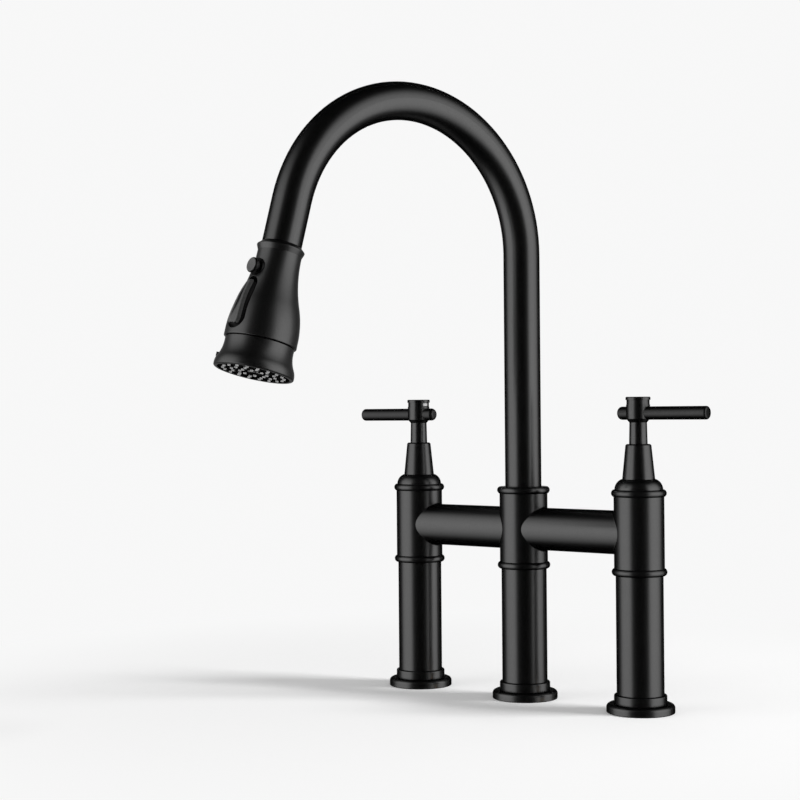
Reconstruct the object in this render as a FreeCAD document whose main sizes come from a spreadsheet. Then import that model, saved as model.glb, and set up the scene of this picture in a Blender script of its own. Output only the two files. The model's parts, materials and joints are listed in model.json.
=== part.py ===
"""Bridge kitchen faucet with a high-arc swivel spout, a pull-down spray head and two lever valves.

Frame: millimetres. The origin is the centre of the middle post on the deck, +Z is up, +X runs along the
bridge towards the right-hand valve and -Y faces the person at the sink. Each piece is a body of its own.
"""
import FreeCAD, Part
import math
import os
import Sketcher
from FreeCAD import Placement, Rotation, Vector

SIZES = {
    # posts and bridge
    "post_spacing": 101.6,        # middle post to valve post, half of the 8 inch spread
    "flange_radius": 24.85,       # deck flange
    "flange_height": 6.3,
    "flange_round": 2.6,
    "foot_round": 0.6,
    "collar_radius": 19.2,        # upper step of the deck flange
    "collar_height": 6.7,
    "collar_round": 1.2,
    "leg_radius": 17.25,          # lower column
    "leg_height": 99.1,           # deck to the underside of the lower ring
    "ring_radius": 20.1,          # crest of the two trim rings
    "ring_edge": 18.5,            # their radius at the flat faces
    "ring_height": 5.2,
    "body_radius": 18.3,          # upper column
    "body_height": 52.0,
    "bridge_rise": 25.3,          # bridge axis above the foot of the upper column
    "bridge_radius": 16.1,
    "nipple_radius": 12.5,        # side outlet that carries a bridge tube
    "nipple_reach": 10.0,         # how far it stands out of the column
    "port_radius": 8.0,           # water way through the bridge
    "seal_thickness": 2.0,
    "spigot_radius": 14.0,        # top of a leg, which holds ring and body
    "spigot_length": 8.0,
    # clearances
    "fit_gap": 0.05,              # between pieces that are assembled tight
    "run_gap": 0.05,              # between a shaft and its bearing
    "free_gap": 0.3,              # between pieces that only pass each other
    # deck fixing
    "deck_thickness": 30.0,
    "gasket_thickness": 1.8,
    "gasket_width": 4.0,
    "shank_length": 65.0,         # below the deck
    "shank_socket": 15.0,         # screwed into the leg
    "side_shank_radius": 12.0,    # where the lock nut runs
    "tail_radius": 10.48,         # half inch pipe thread for the supply nut
    "tail_length": 20.0,
    "tail_relief": 1.0,           # undercut between the two threads
    "relief_depth": 0.6,
    "side_bore": 8.0,
    "centre_shank_radius": 13.5,
    "centre_bore": 10.5,
    "rubber_radius": 22.0,
    "rubber_thickness": 2.5,
    "washer_radius": 20.0,
    "washer_thickness": 2.0,
    "side_nut_width": 36.0,       # across flats
    "centre_nut_width": 41.0,
    "nut_height": 9.0,
    # valves
    "seat_thickness": 4.0,
    "inlet_radius": 6.0,
    "chamber_radius": 12.6,
    "cartridge_bore": 9.6,
    "disc_thickness": 3.5,
    "driver_thickness": 2.0,
    "water_hole": 3.2,            # two in each ceramic disc
    "window_radius": 5.0,
    "stem_radius": 4.4,
    "cartridge_neck": 10.0,
    "cartridge_roof": 14.5,       # solid top of the cartridge, under its neck
    "neck_into_bonnet": 3.0,
    "dome_radius": 17.6,
    "dome_crown": 12.5,
    "dome_height": 7.6,
    "bonnet_foot": 11.9,
    "bonnet_top": 9.4,
    "bonnet_height": 25.5,
    "bonnet_chamfer": 0.9,
    "bonnet_lip": 4.6,
    # handles
    "neck_foot": 6.7,
    "neck_top": 6.35,
    "neck_height": 15.7,
    "neck_inside": 10.5,          # length of neck hidden in the bonnet
    "hub_radius": 8.65,
    "hub_taper": 2.7,
    "hub_height": 10.4,
    "band_radius": 8.35,
    "band_height": 3.3,
    "lid_radius": 9.0,
    "lid_height": 2.3,
    "lid_round": 0.7,
    "lever_rise": 4.1,            # lever axis above the hub's shoulder
    "lever_radius": 4.85,
    "lever_reach": 57.0,          # hub axis to lever tip
    "lever_stub": 16.1,
    "lever_round": 1.7,
    "stub_round": 3.0,
    "lever_dimple": 2.9,
    "dimple_depth": 0.4,
    "grub_radius": 1.5,
    "grub_rise": 5.5,
    # spout
    "spout_radius": 13.85,
    "spout_bore": 12.2,
    "foot_height": 3.0,
    "foot_radius": 15.4,
    "socket_radius": 15.6,
    "socket_depth": 17.8,
    "thrust_thickness": 1.5,
    "ring_lip": 2.0,
    "spout_rise": 177.3,          # straight run above the upper ring, up to the bend
    "arc_radius": 106.5,
    "arc_sweep": 165.0,
    "mouth_length": 33.0,         # straight run after the bend
    "spout_yaw": -14.28,          # the photographed swing of the spout
    "insert_bore": 9.6,
    "insert_length": 22.0,
    "insert_wall_lip": 1.6,
    # hose
    "hose_radius": 7.0,
    "hose_bore": 4.0,
    "guide_length": 12.0,
    "connector_radius": 9.2,
    "connector_rise": 20.0,
    "hose_grip": 16.0,
    "spindle_radius": 7.5,
    "spindle_depth": 14.0,
    "water_radius": 4.5,
    "keeper_radius": 9.5,
    "keeper_thickness": 1.7,
    # spray head, measured down its axis from the top face
    "head_roll": 6.0,             # how far the head is turned on its hose
    "head_top_radius": 14.1,
    "bead_radius": 16.8,
    "bead_depth": 2.6,
    "collar_depth": 6.4,
    "head_neck": 15.35,
    "flare_start": 7.0,
    "flare_turn": 41.0,
    "belly_margin": 5.3,          # widest part above the shell's foot
    "belly_radius": 25.2,
    "shell_depth": 69.8,
    "shell_round": 0.9,
    "shell_bore": 10.5,
    "shell_cone_top": 32.0,
    "mouth_depth": 9.8,           # straight mouth above the shell's foot
    "shell_mouth": 18.35,
    "seam_gap": 0.5,
    "skirt_radius": 23.85,
    "skirt_land": 2.9,            # straight part of the skirt below the seam
    "rim_radius": 27.8,
    "flare_height": 16.0,         # from the straight part down to the rim
    "rim_turn": 10.7,             # where the flare bends back, below its start
    "rim_height": 2.0,
    "rim_round": 1.2,
    "skirt_bore": 20.5,
    "face_inset": 4.5,            # rim edge to the seat of the face
    "face_thickness": 2.5,
    "face_radius": 25.2,
    "face_recess": 0.6,
    "skirt_spigot": 7.0,
    "spigot_wall": 2.6,
    "diverter_radius": 10.2,
    "diverter_foot": 14.6,
    "bell_share": 0.57,           # its edge, as a share of the way down the shell's cone
    "bell_fall": 4.0,             # how far the bell's roof falls to its edge
    "bell_wall": 2.0,
    "diverter_margin": 6.2,       # bell edge above the seat of the face
    "nozzle_radius": 1.35,
    "nozzle_taper": 4.0,
    "nozzle_height": 0.8,
    "jet_radius": 0.45,
    "outer_nozzle_circle": 21.2,
    "middle_nozzle_circle": 15.2,
    "inner_nozzle_circle": 9.4,
    "outer_nozzles": 18,
    "middle_nozzles": 12,
    "inner_nozzles": 8,
    "stream_radius": 5.5,
    "lug_angle": -43.0,
    "lug_rise": 9.4,              # rim edge to the lug's top
    "lug_height": 2.8,
    "lug_width": 6.0,
    "lug_reach": 27.3,
    # pause button
    "button_depth": 20.5,
    "bezel_radius": 6.3,
    "bezel_proud": 16.6,
    "bezel_seat": 12.8,
    "button_stem": 3.9,
    "button_cap": 5.4,
    "button_face": 21.7,
    "button_thickness": 2.1,
    "button_round": 0.8,
    "button_travel": 2.0,
    # spray selector paddle, in a plane that leans with the head's flank
    "slot_top": 28.3,
    "slot_margin": 0.9,           # strip of shell left below the slot
    "slot_floor_top": 12.9,
    "slot_lean": 11.2,
    "slot_top_width": 12.0,
    "slot_foot_width": 17.4,
    "paddle_side_gap": 0.9,
    "pin_drop": 17.6,             # slot top to the pivot, along the slot
    "pin_lift": 1.9,
    "pin_radius": 1.0,
    "pin_half_length": 10.3,
    "paddle_underside": 0.5,
    "paddle_crown": 8.6,
    "paddle_toe": 7.2,
    "paddle_heel": 6.0,
    "paddle_end_fall": 3.4,       # slope of the paddle's round lower end
    "paddle_end_round": 5.0,
    "paddle_swing": 7.0,          # how far it rocks
}

doc = FreeCAD.newDocument("bridge_faucet")
sheet = doc.addObject("Spreadsheet::Sheet", "Sizes")
for row, (alias, number) in enumerate(SIZES.items(), start=1):
    sheet.set("A%d" % row, alias.replace("_", " "))
    sheet.set("B%d" % row, str(number))
    sheet.setAlias("B%d" % row, alias)
doc.recompute()


class Size:
    """A length or an angle: its value now and the sheet formula that gives it."""

    def __init__(self, value, formula):
        self.value = float(value)
        self.formula = formula

    def _joined(self, sign, value, first, second):
        return Size(value, "(%s %s %s)" % (first.formula, sign, second.formula))

    def __add__(self, other):
        other = size_of(other)
        return self._joined("+", self.value + other.value, self, other)

    def __sub__(self, other):
        other = size_of(other)
        return self._joined("-", self.value - other.value, self, other)

    def __mul__(self, other):
        other = size_of(other)
        return self._joined("*", self.value * other.value, self, other)

    def __truediv__(self, other):
        other = size_of(other)
        return self._joined("/", self.value / other.value, self, other)

    def __radd__(self, other):
        return size_of(other) + self

    def __rsub__(self, other):
        return size_of(other) - self

    def __rmul__(self, other):
        return size_of(other) * self

    def __neg__(self):
        return Size(-self.value, "(-1 * %s)" % self.formula)

    def __float__(self):
        return self.value


def size_of(number):
    """A plain number as a Size, so that both can be mixed in a formula."""
    if isinstance(number, Size):
        return number
    return Size(number, "(%r)" % float(number))


class Sheet:
    """The driving sizes by name."""

    def __getattr__(self, alias):
        return Size(sheet.get(alias), "Sizes." + alias)


S = Sheet()

# Heights that several pieces share, stacked from the deck upwards.
FLANGE_TOP = S.flange_height + S.collar_height
BODY_FOOT = S.leg_height + S.ring_height
BODY_TOP = BODY_FOOT + S.body_height
RING_TOP = BODY_TOP + S.ring_height
SPIGOT_TOP = BODY_FOOT + S.spigot_length
SEAT_LEVEL = SPIGOT_TOP + S.fit_gap + S.seat_thickness
SOCKET_LEVEL = BODY_TOP - S.socket_depth
DOME_TOP = RING_TOP + S.dome_height
BONNET_TOP = DOME_TOP + S.bonnet_height
NECK_FOOT = BONNET_TOP - S.neck_inside
HUB_FOOT = BONNET_TOP + S.neck_height
HUB_SHOULDER = HUB_FOOT + S.hub_taper
HUB_TOP = HUB_SHOULDER + S.hub_height
LEVER_LEVEL = HUB_SHOULDER + S.lever_rise
BRIDGE_LEVEL = BODY_FOOT + S.bridge_rise
BEND_LEVEL = RING_TOP + S.spout_rise
NIPPLE_END = S.body_radius + S.nipple_reach

# Depths that the head's pieces share, measured down from its top face.
SLOT_FOOT = S.shell_depth - S.slot_margin
CONE_FOOT = S.shell_depth - S.mouth_depth
SKIRT_TOP = S.shell_depth + S.seam_gap
FLARE_DEPTH = SKIRT_TOP + S.skirt_land
RIM_DEPTH = FLARE_DEPTH + S.flare_height
HEAD_LENGTH = RIM_DEPTH + S.rim_height
FACE_SEAT = HEAD_LENGTH - S.face_inset
FACE_FRONT = HEAD_LENGTH - S.face_recess


# ---------------------------------------------------------------- sketches and features

def corner(x, y, rounding=None):
    """A corner of an outline, rounded by an arc of the given radius if there is one."""
    return ("corner", size_of(x), size_of(y), rounding)


def curve(radius, turn):
    """The edge to the next corner is an arc: turn is 1 for anticlockwise and -1 for clockwise."""
    return ("curve", size_of(radius), turn)


def place_point(sketch, geometry, position, x, y):
    """Ties one point of the sketch to its distances from the sketch's origin."""
    for axis, name, amount in ((-2, "DistanceX", x), (-1, "DistanceY", y)):
        if abs(amount.value) < 1e-9:
            sketch.addConstraint(Sketcher.Constraint("PointOnObject", geometry, position, axis))
            continue
        if amount.value > 0:
            ends = (-1, 1, geometry, position)
        else:
            ends = (geometry, position, -1, 1)
            amount = -amount
        index = sketch.addConstraint(Sketcher.Constraint(name, *ends, amount.value))
        sketch.setExpression("Constraints[%d]" % index, amount.formula)


def arc_between(start, end, radius, turn):
    """An arc of a circle from start to end, and which of its own ends lie at each."""
    chord = end - start
    side = Vector(-chord.y, chord.x, 0).normalize() * turn
    rise = math.sqrt(max(radius * radius - (chord.Length / 2) ** 2, 0.0))
    centre = (start + end) * 0.5 + side * rise
    first, last = (start, end) if turn > 0 else (end, start)
    from_angle = math.atan2(first.y - centre.y, first.x - centre.x)
    to_angle = math.atan2(last.y - centre.y, last.x - centre.x)
    if to_angle < from_angle:
        to_angle += 2 * math.pi
    circle = Part.Circle(centre, Vector(0, 0, 1), radius)
    return Part.ArcOfCircle(circle, from_angle, to_angle), ((1, 2) if turn > 0 else (2, 1))


def draw_outline(sketch, items):
    """Draws one closed outline of straight edges and arcs, with every size tied to the sheet."""
    corners = []
    for item in items:
        if item[0] == "corner":
            corners.append({"x": item[1], "y": item[2], "rounding": item[3], "arc": None})
        else:
            corners[-1]["arc"] = item[1:]
    count = len(corners)
    for spot in corners:
        spot["at"] = Vector(spot["x"].value, spot["y"].value, 0)
        spot["into"] = spot["out"] = spot["at"]
    for number, spot in enumerate(corners):
        if spot["rounding"] is None:
            continue
        before = (corners[number - 1]["at"] - spot["at"]).normalize()
        after = (corners[(number + 1) % count]["at"] - spot["at"]).normalize()
        half = before.getAngle(after) / 2
        back = float(spot["rounding"]) / math.tan(half)
        spot["into"] = spot["at"] + before * back
        spot["out"] = spot["at"] + after * back
        spot["turn"] = 1 if (before * -1).cross(after).z > 0 else -1
    edges = []
    for number, spot in enumerate(corners):
        start = spot["out"]
        end = corners[(number + 1) % count]["into"]
        if spot["arc"] is None:
            edges.append((sketch.addGeometry(Part.LineSegment(start, end), False), 1, 2))
            continue
        radius, turn = spot["arc"]
        shape, ends = arc_between(start, end, radius.value, turn)
        index = sketch.addGeometry(shape, False)
        edges.append((index, *ends))
    for number, spot in enumerate(corners):
        before, edge = edges[number - 1], edges[number]
        if spot["rounding"] is None:
            sketch.addConstraint(Sketcher.Constraint("Coincident", before[0], before[2], edge[0], edge[1]))
            place_point(sketch, edge[0], edge[1], spot["x"], spot["y"])
            continue
        radius = size_of(spot["rounding"])
        shape, ends = arc_between(spot["into"], spot["out"], radius.value, spot["turn"])
        rounding = sketch.addGeometry(shape, False)
        point = sketch.addGeometry(Part.Point(spot["at"]), True)
        place_point(sketch, point, 1, spot["x"], spot["y"])
        sketch.addConstraint(Sketcher.Constraint("PointOnObject", point, 1, before[0]))
        sketch.addConstraint(Sketcher.Constraint("PointOnObject", point, 1, edge[0]))
        sketch.addConstraint(Sketcher.Constraint("Tangent", before[0], before[2], rounding, ends[0]))
        sketch.addConstraint(Sketcher.Constraint("Tangent", rounding, ends[1], edge[0], edge[1]))
        index = sketch.addConstraint(Sketcher.Constraint("Radius", rounding, radius.value))
        sketch.setExpression("Constraints[%d]" % index, radius.formula)
    for number, spot in enumerate(corners):
        if spot["arc"] is None:
            continue
        radius = spot["arc"][0]
        index = sketch.addConstraint(Sketcher.Constraint("Radius", edges[number][0], radius.value))
        sketch.setExpression("Constraints[%d]" % index, radius.formula)


def draw_circle(sketch, x, y, radius):
    """Draws a circle about a point tied to the sheet."""
    x, y, radius = size_of(x), size_of(y), size_of(radius)
    circle = Part.Circle(Vector(x.value, y.value, 0), Vector(0, 0, 1), radius.value)
    index = sketch.addGeometry(circle, False)
    place_point(sketch, index, 3, x, y)
    number = sketch.addConstraint(Sketcher.Constraint("Radius", index, radius.value))
    sketch.setExpression("Constraints[%d]" % number, radius.formula)


def new_body(label, x=0, y=0, z=0, frame=None):
    """A new piece. It stands at x, y, z, or in the given frame."""
    body = doc.addObject("PartDesign::Body", label)
    body.Label = label
    if frame is not None:
        body.Placement = frame
        return body
    for axis, amount in (("x", size_of(x)), ("y", size_of(y)), ("z", size_of(z))):
        if amount.value:
            body.setExpression("Placement.Base." + axis, amount.formula)
    return body


def new_sketch(body, plane, shift=0, lean=None):
    """A sketch on one of the piece's own planes, moved out along the plane's normal by shift."""
    sketch = body.newObject("Sketcher::SketchObject", body.Label + "_sketch")
    support = next(item for item in body.Origin.OriginFeatures if item.Role == plane)
    sketch.AttachmentSupport = (support, [""])
    sketch.MapMode = "FlatFace"
    if lean is not None:
        sketch.AttachmentOffset = lean
    elif float(shift):
        sketch.setExpression("AttachmentOffset.Base.z", size_of(shift).formula)
    return sketch


def feature(body, kind, sketch, **settings):
    """A sketch-based feature. A Size among the settings is bound to the sheet."""
    made = body.newObject("PartDesign::" + kind, body.Label + "_" + kind.lower())
    made.Profile = sketch
    if kind in ("Revolution", "Groove"):
        made.ReferenceAxis = (sketch, ["V_Axis"])
        made.Angle = 360.0
    for name, setting in settings.items():
        if isinstance(setting, Size):
            setattr(made, name, setting.value)
            made.setExpression(name, setting.formula)
        else:
            setattr(made, name, setting)
    sketch.Visibility = False
    body.Tip = made
    return made


def turned(label, outline, **where):
    """A piece turned about its own Z axis; the outline's x is a radius and its y a height."""
    body = new_body(label, **where)
    sketch = new_sketch(body, "XZ_Plane")
    draw_outline(sketch, outline)
    feature(body, "Revolution", sketch)
    return body


def ring_outline(inner, outer, foot, top):
    """The outline of a plain ring."""
    return [corner(inner, foot), corner(outer, foot), corner(outer, top), corner(inner, top)]


def turned_out(body, outline):
    """Removes a turned hollow from a piece."""
    sketch = new_sketch(body, "XZ_Plane")
    draw_outline(sketch, outline)
    return feature(body, "Groove", sketch)


def bored(body, plane, x, y, radius, start, length, reverse=False):
    """Drills a round hole whose mouth lies on a plane moved out by start."""
    sketch = new_sketch(body, plane, start)
    draw_circle(sketch, x, y, radius)
    return feature(body, "Pocket", sketch, Type=0, Length=size_of(length), Reversed=reverse)


def grouped(label, copies):
    """One node of several equal pieces that stay separate solids."""
    group = doc.addObject("Part::Compound", label)
    group.Label = label
    group.Links = copies
    return group


NODES = []


def node(*pieces):
    """Puts finished pieces on the list that is written out."""
    NODES.extend(pieces)


# ---------------------------------------------------------------- posts

POSTS = (("left", -S.post_spacing), ("centre", size_of(0)), ("right", S.post_spacing))


def base_flange(name, x):
    """Stepped deck flange with a recess for its gasket."""
    bore = S.leg_radius + S.fit_gap
    seat = bore + S.gasket_width + S.free_gap
    outline = [
        corner(seat, 0),
        corner(S.flange_radius, 0, S.foot_round),
        corner(S.flange_radius, S.flange_height, S.flange_round),
        corner(S.collar_radius, S.flange_height),
        corner(S.collar_radius, FLANGE_TOP, S.collar_round),
        corner(bore, FLANGE_TOP),
        corner(bore, S.gasket_thickness),
        corner(seat, S.gasket_thickness),
    ]
    node(turned(name + "_base_flange", outline, x=x))


def base_gaskets():
    """A flat rubber ring under each deck flange."""
    inner = S.leg_radius + S.free_gap
    outline = ring_outline(inner, inner + S.gasket_width, 0, S.gasket_thickness)
    node(grouped("base_gaskets", [turned(name + "_gasket", outline, x=x) for name, x in POSTS]))


def leg(name, x, bore, shank_radius):
    """Lower column: a socket for the shank below and a spigot for the upper body above."""
    socket = shank_radius + S.fit_gap
    outline = [
        corner(socket, 0),
        corner(S.leg_radius, 0),
        corner(S.leg_radius, S.leg_height),
        corner(S.spigot_radius, S.leg_height),
        corner(S.spigot_radius, SPIGOT_TOP),
        corner(bore, SPIGOT_TOP),
        corner(bore, S.shank_socket),
        corner(socket, S.shank_socket),
    ]
    node(turned(name + "_leg", outline, x=x))


def bead_outline(inner, foot, top):
    """A trim ring with a round crest."""
    rise = S.ring_radius - S.ring_edge
    half = S.ring_height / 2
    crest = (half * half + rise * rise) / (2 * rise)
    return [
        corner(inner, foot),
        corner(S.ring_edge, foot),
        curve(crest, 1),
        corner(S.ring_edge, top),
        corner(inner, top),
    ]


def lower_rings():
    """The trim ring between each leg and its upper body."""
    outline = bead_outline(S.spigot_radius + S.fit_gap, S.leg_height, BODY_FOOT)
    node(grouped("lower_rings", [turned(name + "_lower_ring", outline, x=x) for name, x in POSTS]))


def upper_rings():
    """The trim ring on top of each body. The middle one has a lip over the spout's bushing."""
    plain = bead_outline(S.chamber_radius + S.free_gap, BODY_TOP, RING_TOP)
    for name, x in (POSTS[0], POSTS[2]):
        node(turned(name + "_upper_ring", plain, x=x))
    lip_level = RING_TOP - S.ring_lip
    lipped = bead_outline(S.socket_radius, BODY_TOP, RING_TOP)[:-1]
    lip_bore = S.spout_radius + S.free_gap
    lipped += [corner(lip_bore, RING_TOP), corner(lip_bore, lip_level), corner(S.socket_radius, lip_level)]
    node(turned("centre_upper_ring", lipped))


def column_body(label, x, hollow, sides):
    """Upper column with a nipple for each bridge tube and the given hollow."""
    body = new_body(label, x=x)
    sketch = new_sketch(body, "XZ_Plane")
    draw_outline(sketch, ring_outline(0, S.body_radius, BODY_FOOT, BODY_TOP))
    feature(body, "Revolution", sketch)
    for side in sides:
        boss = new_sketch(body, "YZ_Plane")
        draw_circle(boss, 0, BRIDGE_LEVEL, S.nipple_radius)
        feature(body, "Pad", boss, Type=0, Length=NIPPLE_END, Reversed=side < 0)
    turned_out(body, hollow)
    for side in sides:
        bored(body, "YZ_Plane", 0, BRIDGE_LEVEL, S.port_radius, side * NIPPLE_END, NIPPLE_END, side < 0)
    node(body)


def valve_body(name, x, side):
    """Valve post: spigot socket, seat with its inlet, and the cartridge's chamber."""
    hollow = [
        corner(0, BODY_FOOT),
        corner(S.spigot_radius + S.fit_gap, BODY_FOOT),
        corner(S.spigot_radius + S.fit_gap, SPIGOT_TOP + S.fit_gap),
        corner(S.inlet_radius, SPIGOT_TOP + S.fit_gap),
        corner(S.inlet_radius, SEAT_LEVEL),
        corner(S.chamber_radius, SEAT_LEVEL),
        corner(S.chamber_radius, BODY_TOP),
        corner(0, BODY_TOP),
    ]
    column_body(name + "_valve_body", x, hollow, (side,))


def centre_body():
    """Middle post: mixing chamber below, socket for the spout above."""
    hollow = [
        corner(0, BODY_FOOT),
        corner(S.spigot_radius + S.fit_gap, BODY_FOOT),
        corner(S.spigot_radius + S.fit_gap, SPIGOT_TOP + S.fit_gap),
        corner(S.centre_bore, SPIGOT_TOP + S.fit_gap),
        corner(S.centre_bore, SEAT_LEVEL),
        corner(S.chamber_radius, SEAT_LEVEL),
        corner(S.chamber_radius, SOCKET_LEVEL),
        corner(S.socket_radius, SOCKET_LEVEL),
        corner(S.socket_radius, BODY_TOP),
        corner(0, BODY_TOP),
    ]
    column_body("centre_body", 0, hollow, (-1, 1))


def bridge_tube(name, x):
    """Tube between two posts, coped to their round walls and bored for their nipples."""
    body = new_body(name + "_bridge_tube", x=x, z=BRIDGE_LEVEL)
    outside = new_sketch(body, "YZ_Plane")
    draw_circle(outside, 0, 0, S.bridge_radius)
    feature(body, "Pad", outside, Type=0, Length=S.post_spacing)
    bored(body, "YZ_Plane", 0, 0, S.port_radius, 0, S.post_spacing, True)
    step = NIPPLE_END + S.seal_thickness
    bored(body, "YZ_Plane", 0, 0, S.nipple_radius + S.fit_gap, 0, step, True)
    bored(body, "YZ_Plane", 0, 0, S.nipple_radius + S.fit_gap, S.post_spacing, step)
    for middle in (0, S.post_spacing):
        cope = new_sketch(body, "XY_Plane")
        draw_circle(cope, middle, 0, S.body_radius + S.fit_gap)
        feature(body, "Pocket", cope, Type=0, Length=2 * S.body_radius, Midplane=True)
    node(body)


def bridge_seals():
    """A flat seal at the end of each nipple."""
    outline = ring_outline(S.port_radius, S.nipple_radius, 0, S.seal_thickness)
    seals = []
    places = (
        ("left", POSTS[0][1], 1),
        ("inner_left", POSTS[1][1], -1),
        ("inner_right", POSTS[1][1], 1),
        ("right", POSTS[2][1], -1),
    )
    for name, x, side in places:
        seal = turned(name + "_bridge_seal", outline)
        seal.setExpression("Placement.Base.x", (x + side * NIPPLE_END).formula)
        seal.setExpression("Placement.Base.z", BRIDGE_LEVEL.formula)
        seal.Placement.Rotation = Rotation(Vector(0, 1, 0), 90 * side)
        seals.append(seal)
    node(grouped("bridge_seals", seals))


# ---------------------------------------------------------------- deck fixing

def centre_shank(x):
    """Hollow shank that goes through the deck, with the hose inside."""
    outline = ring_outline(S.centre_bore, S.centre_shank_radius, -S.shank_length, S.shank_socket)
    node(turned("centre_shank", outline, x=x))


def side_shank(name, x):
    """Hollow shank with the lock nut's thread above and a thinner tail for the supply nut below."""
    tail_top = S.tail_length - S.shank_length
    relief_top = tail_top + S.tail_relief
    relief = S.tail_radius - S.relief_depth
    outline = [
        corner(S.side_bore, -S.shank_length),
        corner(S.tail_radius, -S.shank_length),
        corner(S.tail_radius, tail_top),
        corner(relief, tail_top),
        corner(relief, relief_top),
        corner(S.side_shank_radius, relief_top),
        corner(S.side_shank_radius, S.shank_socket),
        corner(S.side_bore, S.shank_socket),
    ]
    node(turned(name + "_shank", outline, x=x))


def lock_nut(label, x, width, shank_radius):
    """Hexagon nut under the deck."""
    top = S.deck_thickness + S.rubber_thickness + S.washer_thickness
    body = new_body(label, x=x, z=-(top + S.nut_height))
    prism = body.newObject("PartDesign::AdditivePrism", label + "_prism")
    prism.Polygon = 6
    prism.setExpression("Circumradius", (width / math.sqrt(3)).formula)
    prism.setExpression("Height", S.nut_height.formula)
    body.Tip = prism
    drop = width / 2 / math.sqrt(3)
    for level, inwards in ((size_of(0), 1), (S.nut_height, -1)):
        edge = [corner(width / 2, level), corner(width, level), corner(width, level + inwards * drop)]
        turned_out(body, edge)
    bored(body, "XY_Plane", 0, 0, shank_radius + S.fit_gap, 0, S.nut_height, True)
    return body


def deck_fixing():
    """Rubber washers, steel washers and lock nuts that clamp the faucet to the deck."""
    rubbers = []
    washers = []
    for name, x in POSTS:
        hole = (S.centre_shank_radius if name == "centre" else S.side_shank_radius) + S.free_gap
        level = -S.deck_thickness - S.rubber_thickness
        rubber = ring_outline(hole, S.rubber_radius, level, -S.deck_thickness)
        washer = ring_outline(hole, S.washer_radius, level - S.washer_thickness, level)
        rubbers.append(turned(name + "_rubber_washer", rubber, x=x))
        washers.append(turned(name + "_clamp_washer", washer, x=x))
    node(grouped("rubber_washers", rubbers), grouped("clamp_washers", washers))
    side_nuts = []
    for name, x in (POSTS[0], POSTS[2]):
        side_nuts.append(lock_nut(name + "_lock_nut", x, S.side_nut_width, S.side_shank_radius))
    node(grouped("side_lock_nuts", side_nuts))
    node(lock_nut("centre_lock_nut", 0, S.centre_nut_width, S.centre_shank_radius))


# ---------------------------------------------------------------- valves

CARTRIDGE_FOOT = SEAT_LEVEL + S.seal_thickness
MOVING_DISC_FOOT = CARTRIDGE_FOOT + S.disc_thickness + S.run_gap
DRIVER_FOOT = MOVING_DISC_FOOT + S.disc_thickness
CARTRIDGE_SHOULDER = DOME_TOP - S.bonnet_lip
CARTRIDGE_TOP = DOME_TOP + S.neck_into_bonnet


def dome_cap(name, x):
    """Round-shouldered cap over the cartridge."""
    drop = S.dome_radius - S.dome_crown
    sweep = (drop * drop + S.dome_height * S.dome_height) / (2 * drop)
    neck_bore = S.cartridge_neck + S.fit_gap
    outline = [
        corner(S.chamber_radius + S.free_gap, RING_TOP),
        corner(S.dome_radius, RING_TOP),
        curve(sweep, 1),
        corner(S.dome_crown, DOME_TOP),
        corner(neck_bore, DOME_TOP),
        corner(neck_bore, CARTRIDGE_SHOULDER + S.fit_gap),
        corner(S.chamber_radius + S.free_gap, CARTRIDGE_SHOULDER + S.fit_gap),
    ]
    node(turned(name + "_dome_cap", outline, x=x))


def bonnet(name, x):
    """Slender cone that the handle's neck turns in."""
    hollow = S.neck_foot + S.free_gap
    neck_bore = S.cartridge_neck + S.fit_gap
    outline = [
        corner(neck_bore, DOME_TOP),
        corner(S.bonnet_foot, DOME_TOP),
        corner(S.bonnet_top, BONNET_TOP - S.bonnet_chamfer),
        corner(S.bonnet_top - S.bonnet_chamfer, BONNET_TOP),
        corner(hollow, BONNET_TOP),
        corner(hollow, CARTRIDGE_TOP + S.fit_gap),
        corner(neck_bore, CARTRIDGE_TOP + S.fit_gap),
    ]
    node(turned(name + "_bonnet", outline, x=x))


def cartridge_body(name, x):
    """Brass sleeve of the ceramic cartridge, with two outlet windows."""
    roof = CARTRIDGE_SHOULDER - S.cartridge_roof
    outer = S.chamber_radius - S.fit_gap
    stem_bore = S.stem_radius + S.run_gap
    outline = [
        corner(S.cartridge_bore, CARTRIDGE_FOOT),
        corner(outer, CARTRIDGE_FOOT),
        corner(outer, CARTRIDGE_SHOULDER),
        corner(S.cartridge_neck, CARTRIDGE_SHOULDER),
        corner(S.cartridge_neck, CARTRIDGE_TOP),
        corner(stem_bore, CARTRIDGE_TOP),
        corner(stem_bore, roof),
        corner(S.cartridge_bore, roof),
    ]
    body = turned(name + "_cartridge_body", outline, x=x)
    window = new_sketch(body, "YZ_Plane")
    draw_circle(window, 0, BRIDGE_LEVEL, S.window_radius)
    feature(body, "Pocket", window, Type=0, Length=2 * S.chamber_radius, Midplane=True)
    return body


def holed_disc(label, x, radius, foot):
    """Ceramic disc with two water holes, one each side of the middle."""
    body = turned(label, ring_outline(0, radius, foot, foot + S.disc_thickness), x=x)
    holes = new_sketch(body, "XY_Plane", foot)
    for side in (-1, 1):
        draw_circle(holes, 0, side * S.cartridge_bore / 2, S.water_hole)
    feature(body, "Pocket", holes, Type=0, Length=S.disc_thickness, Reversed=True)
    return body


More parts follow.
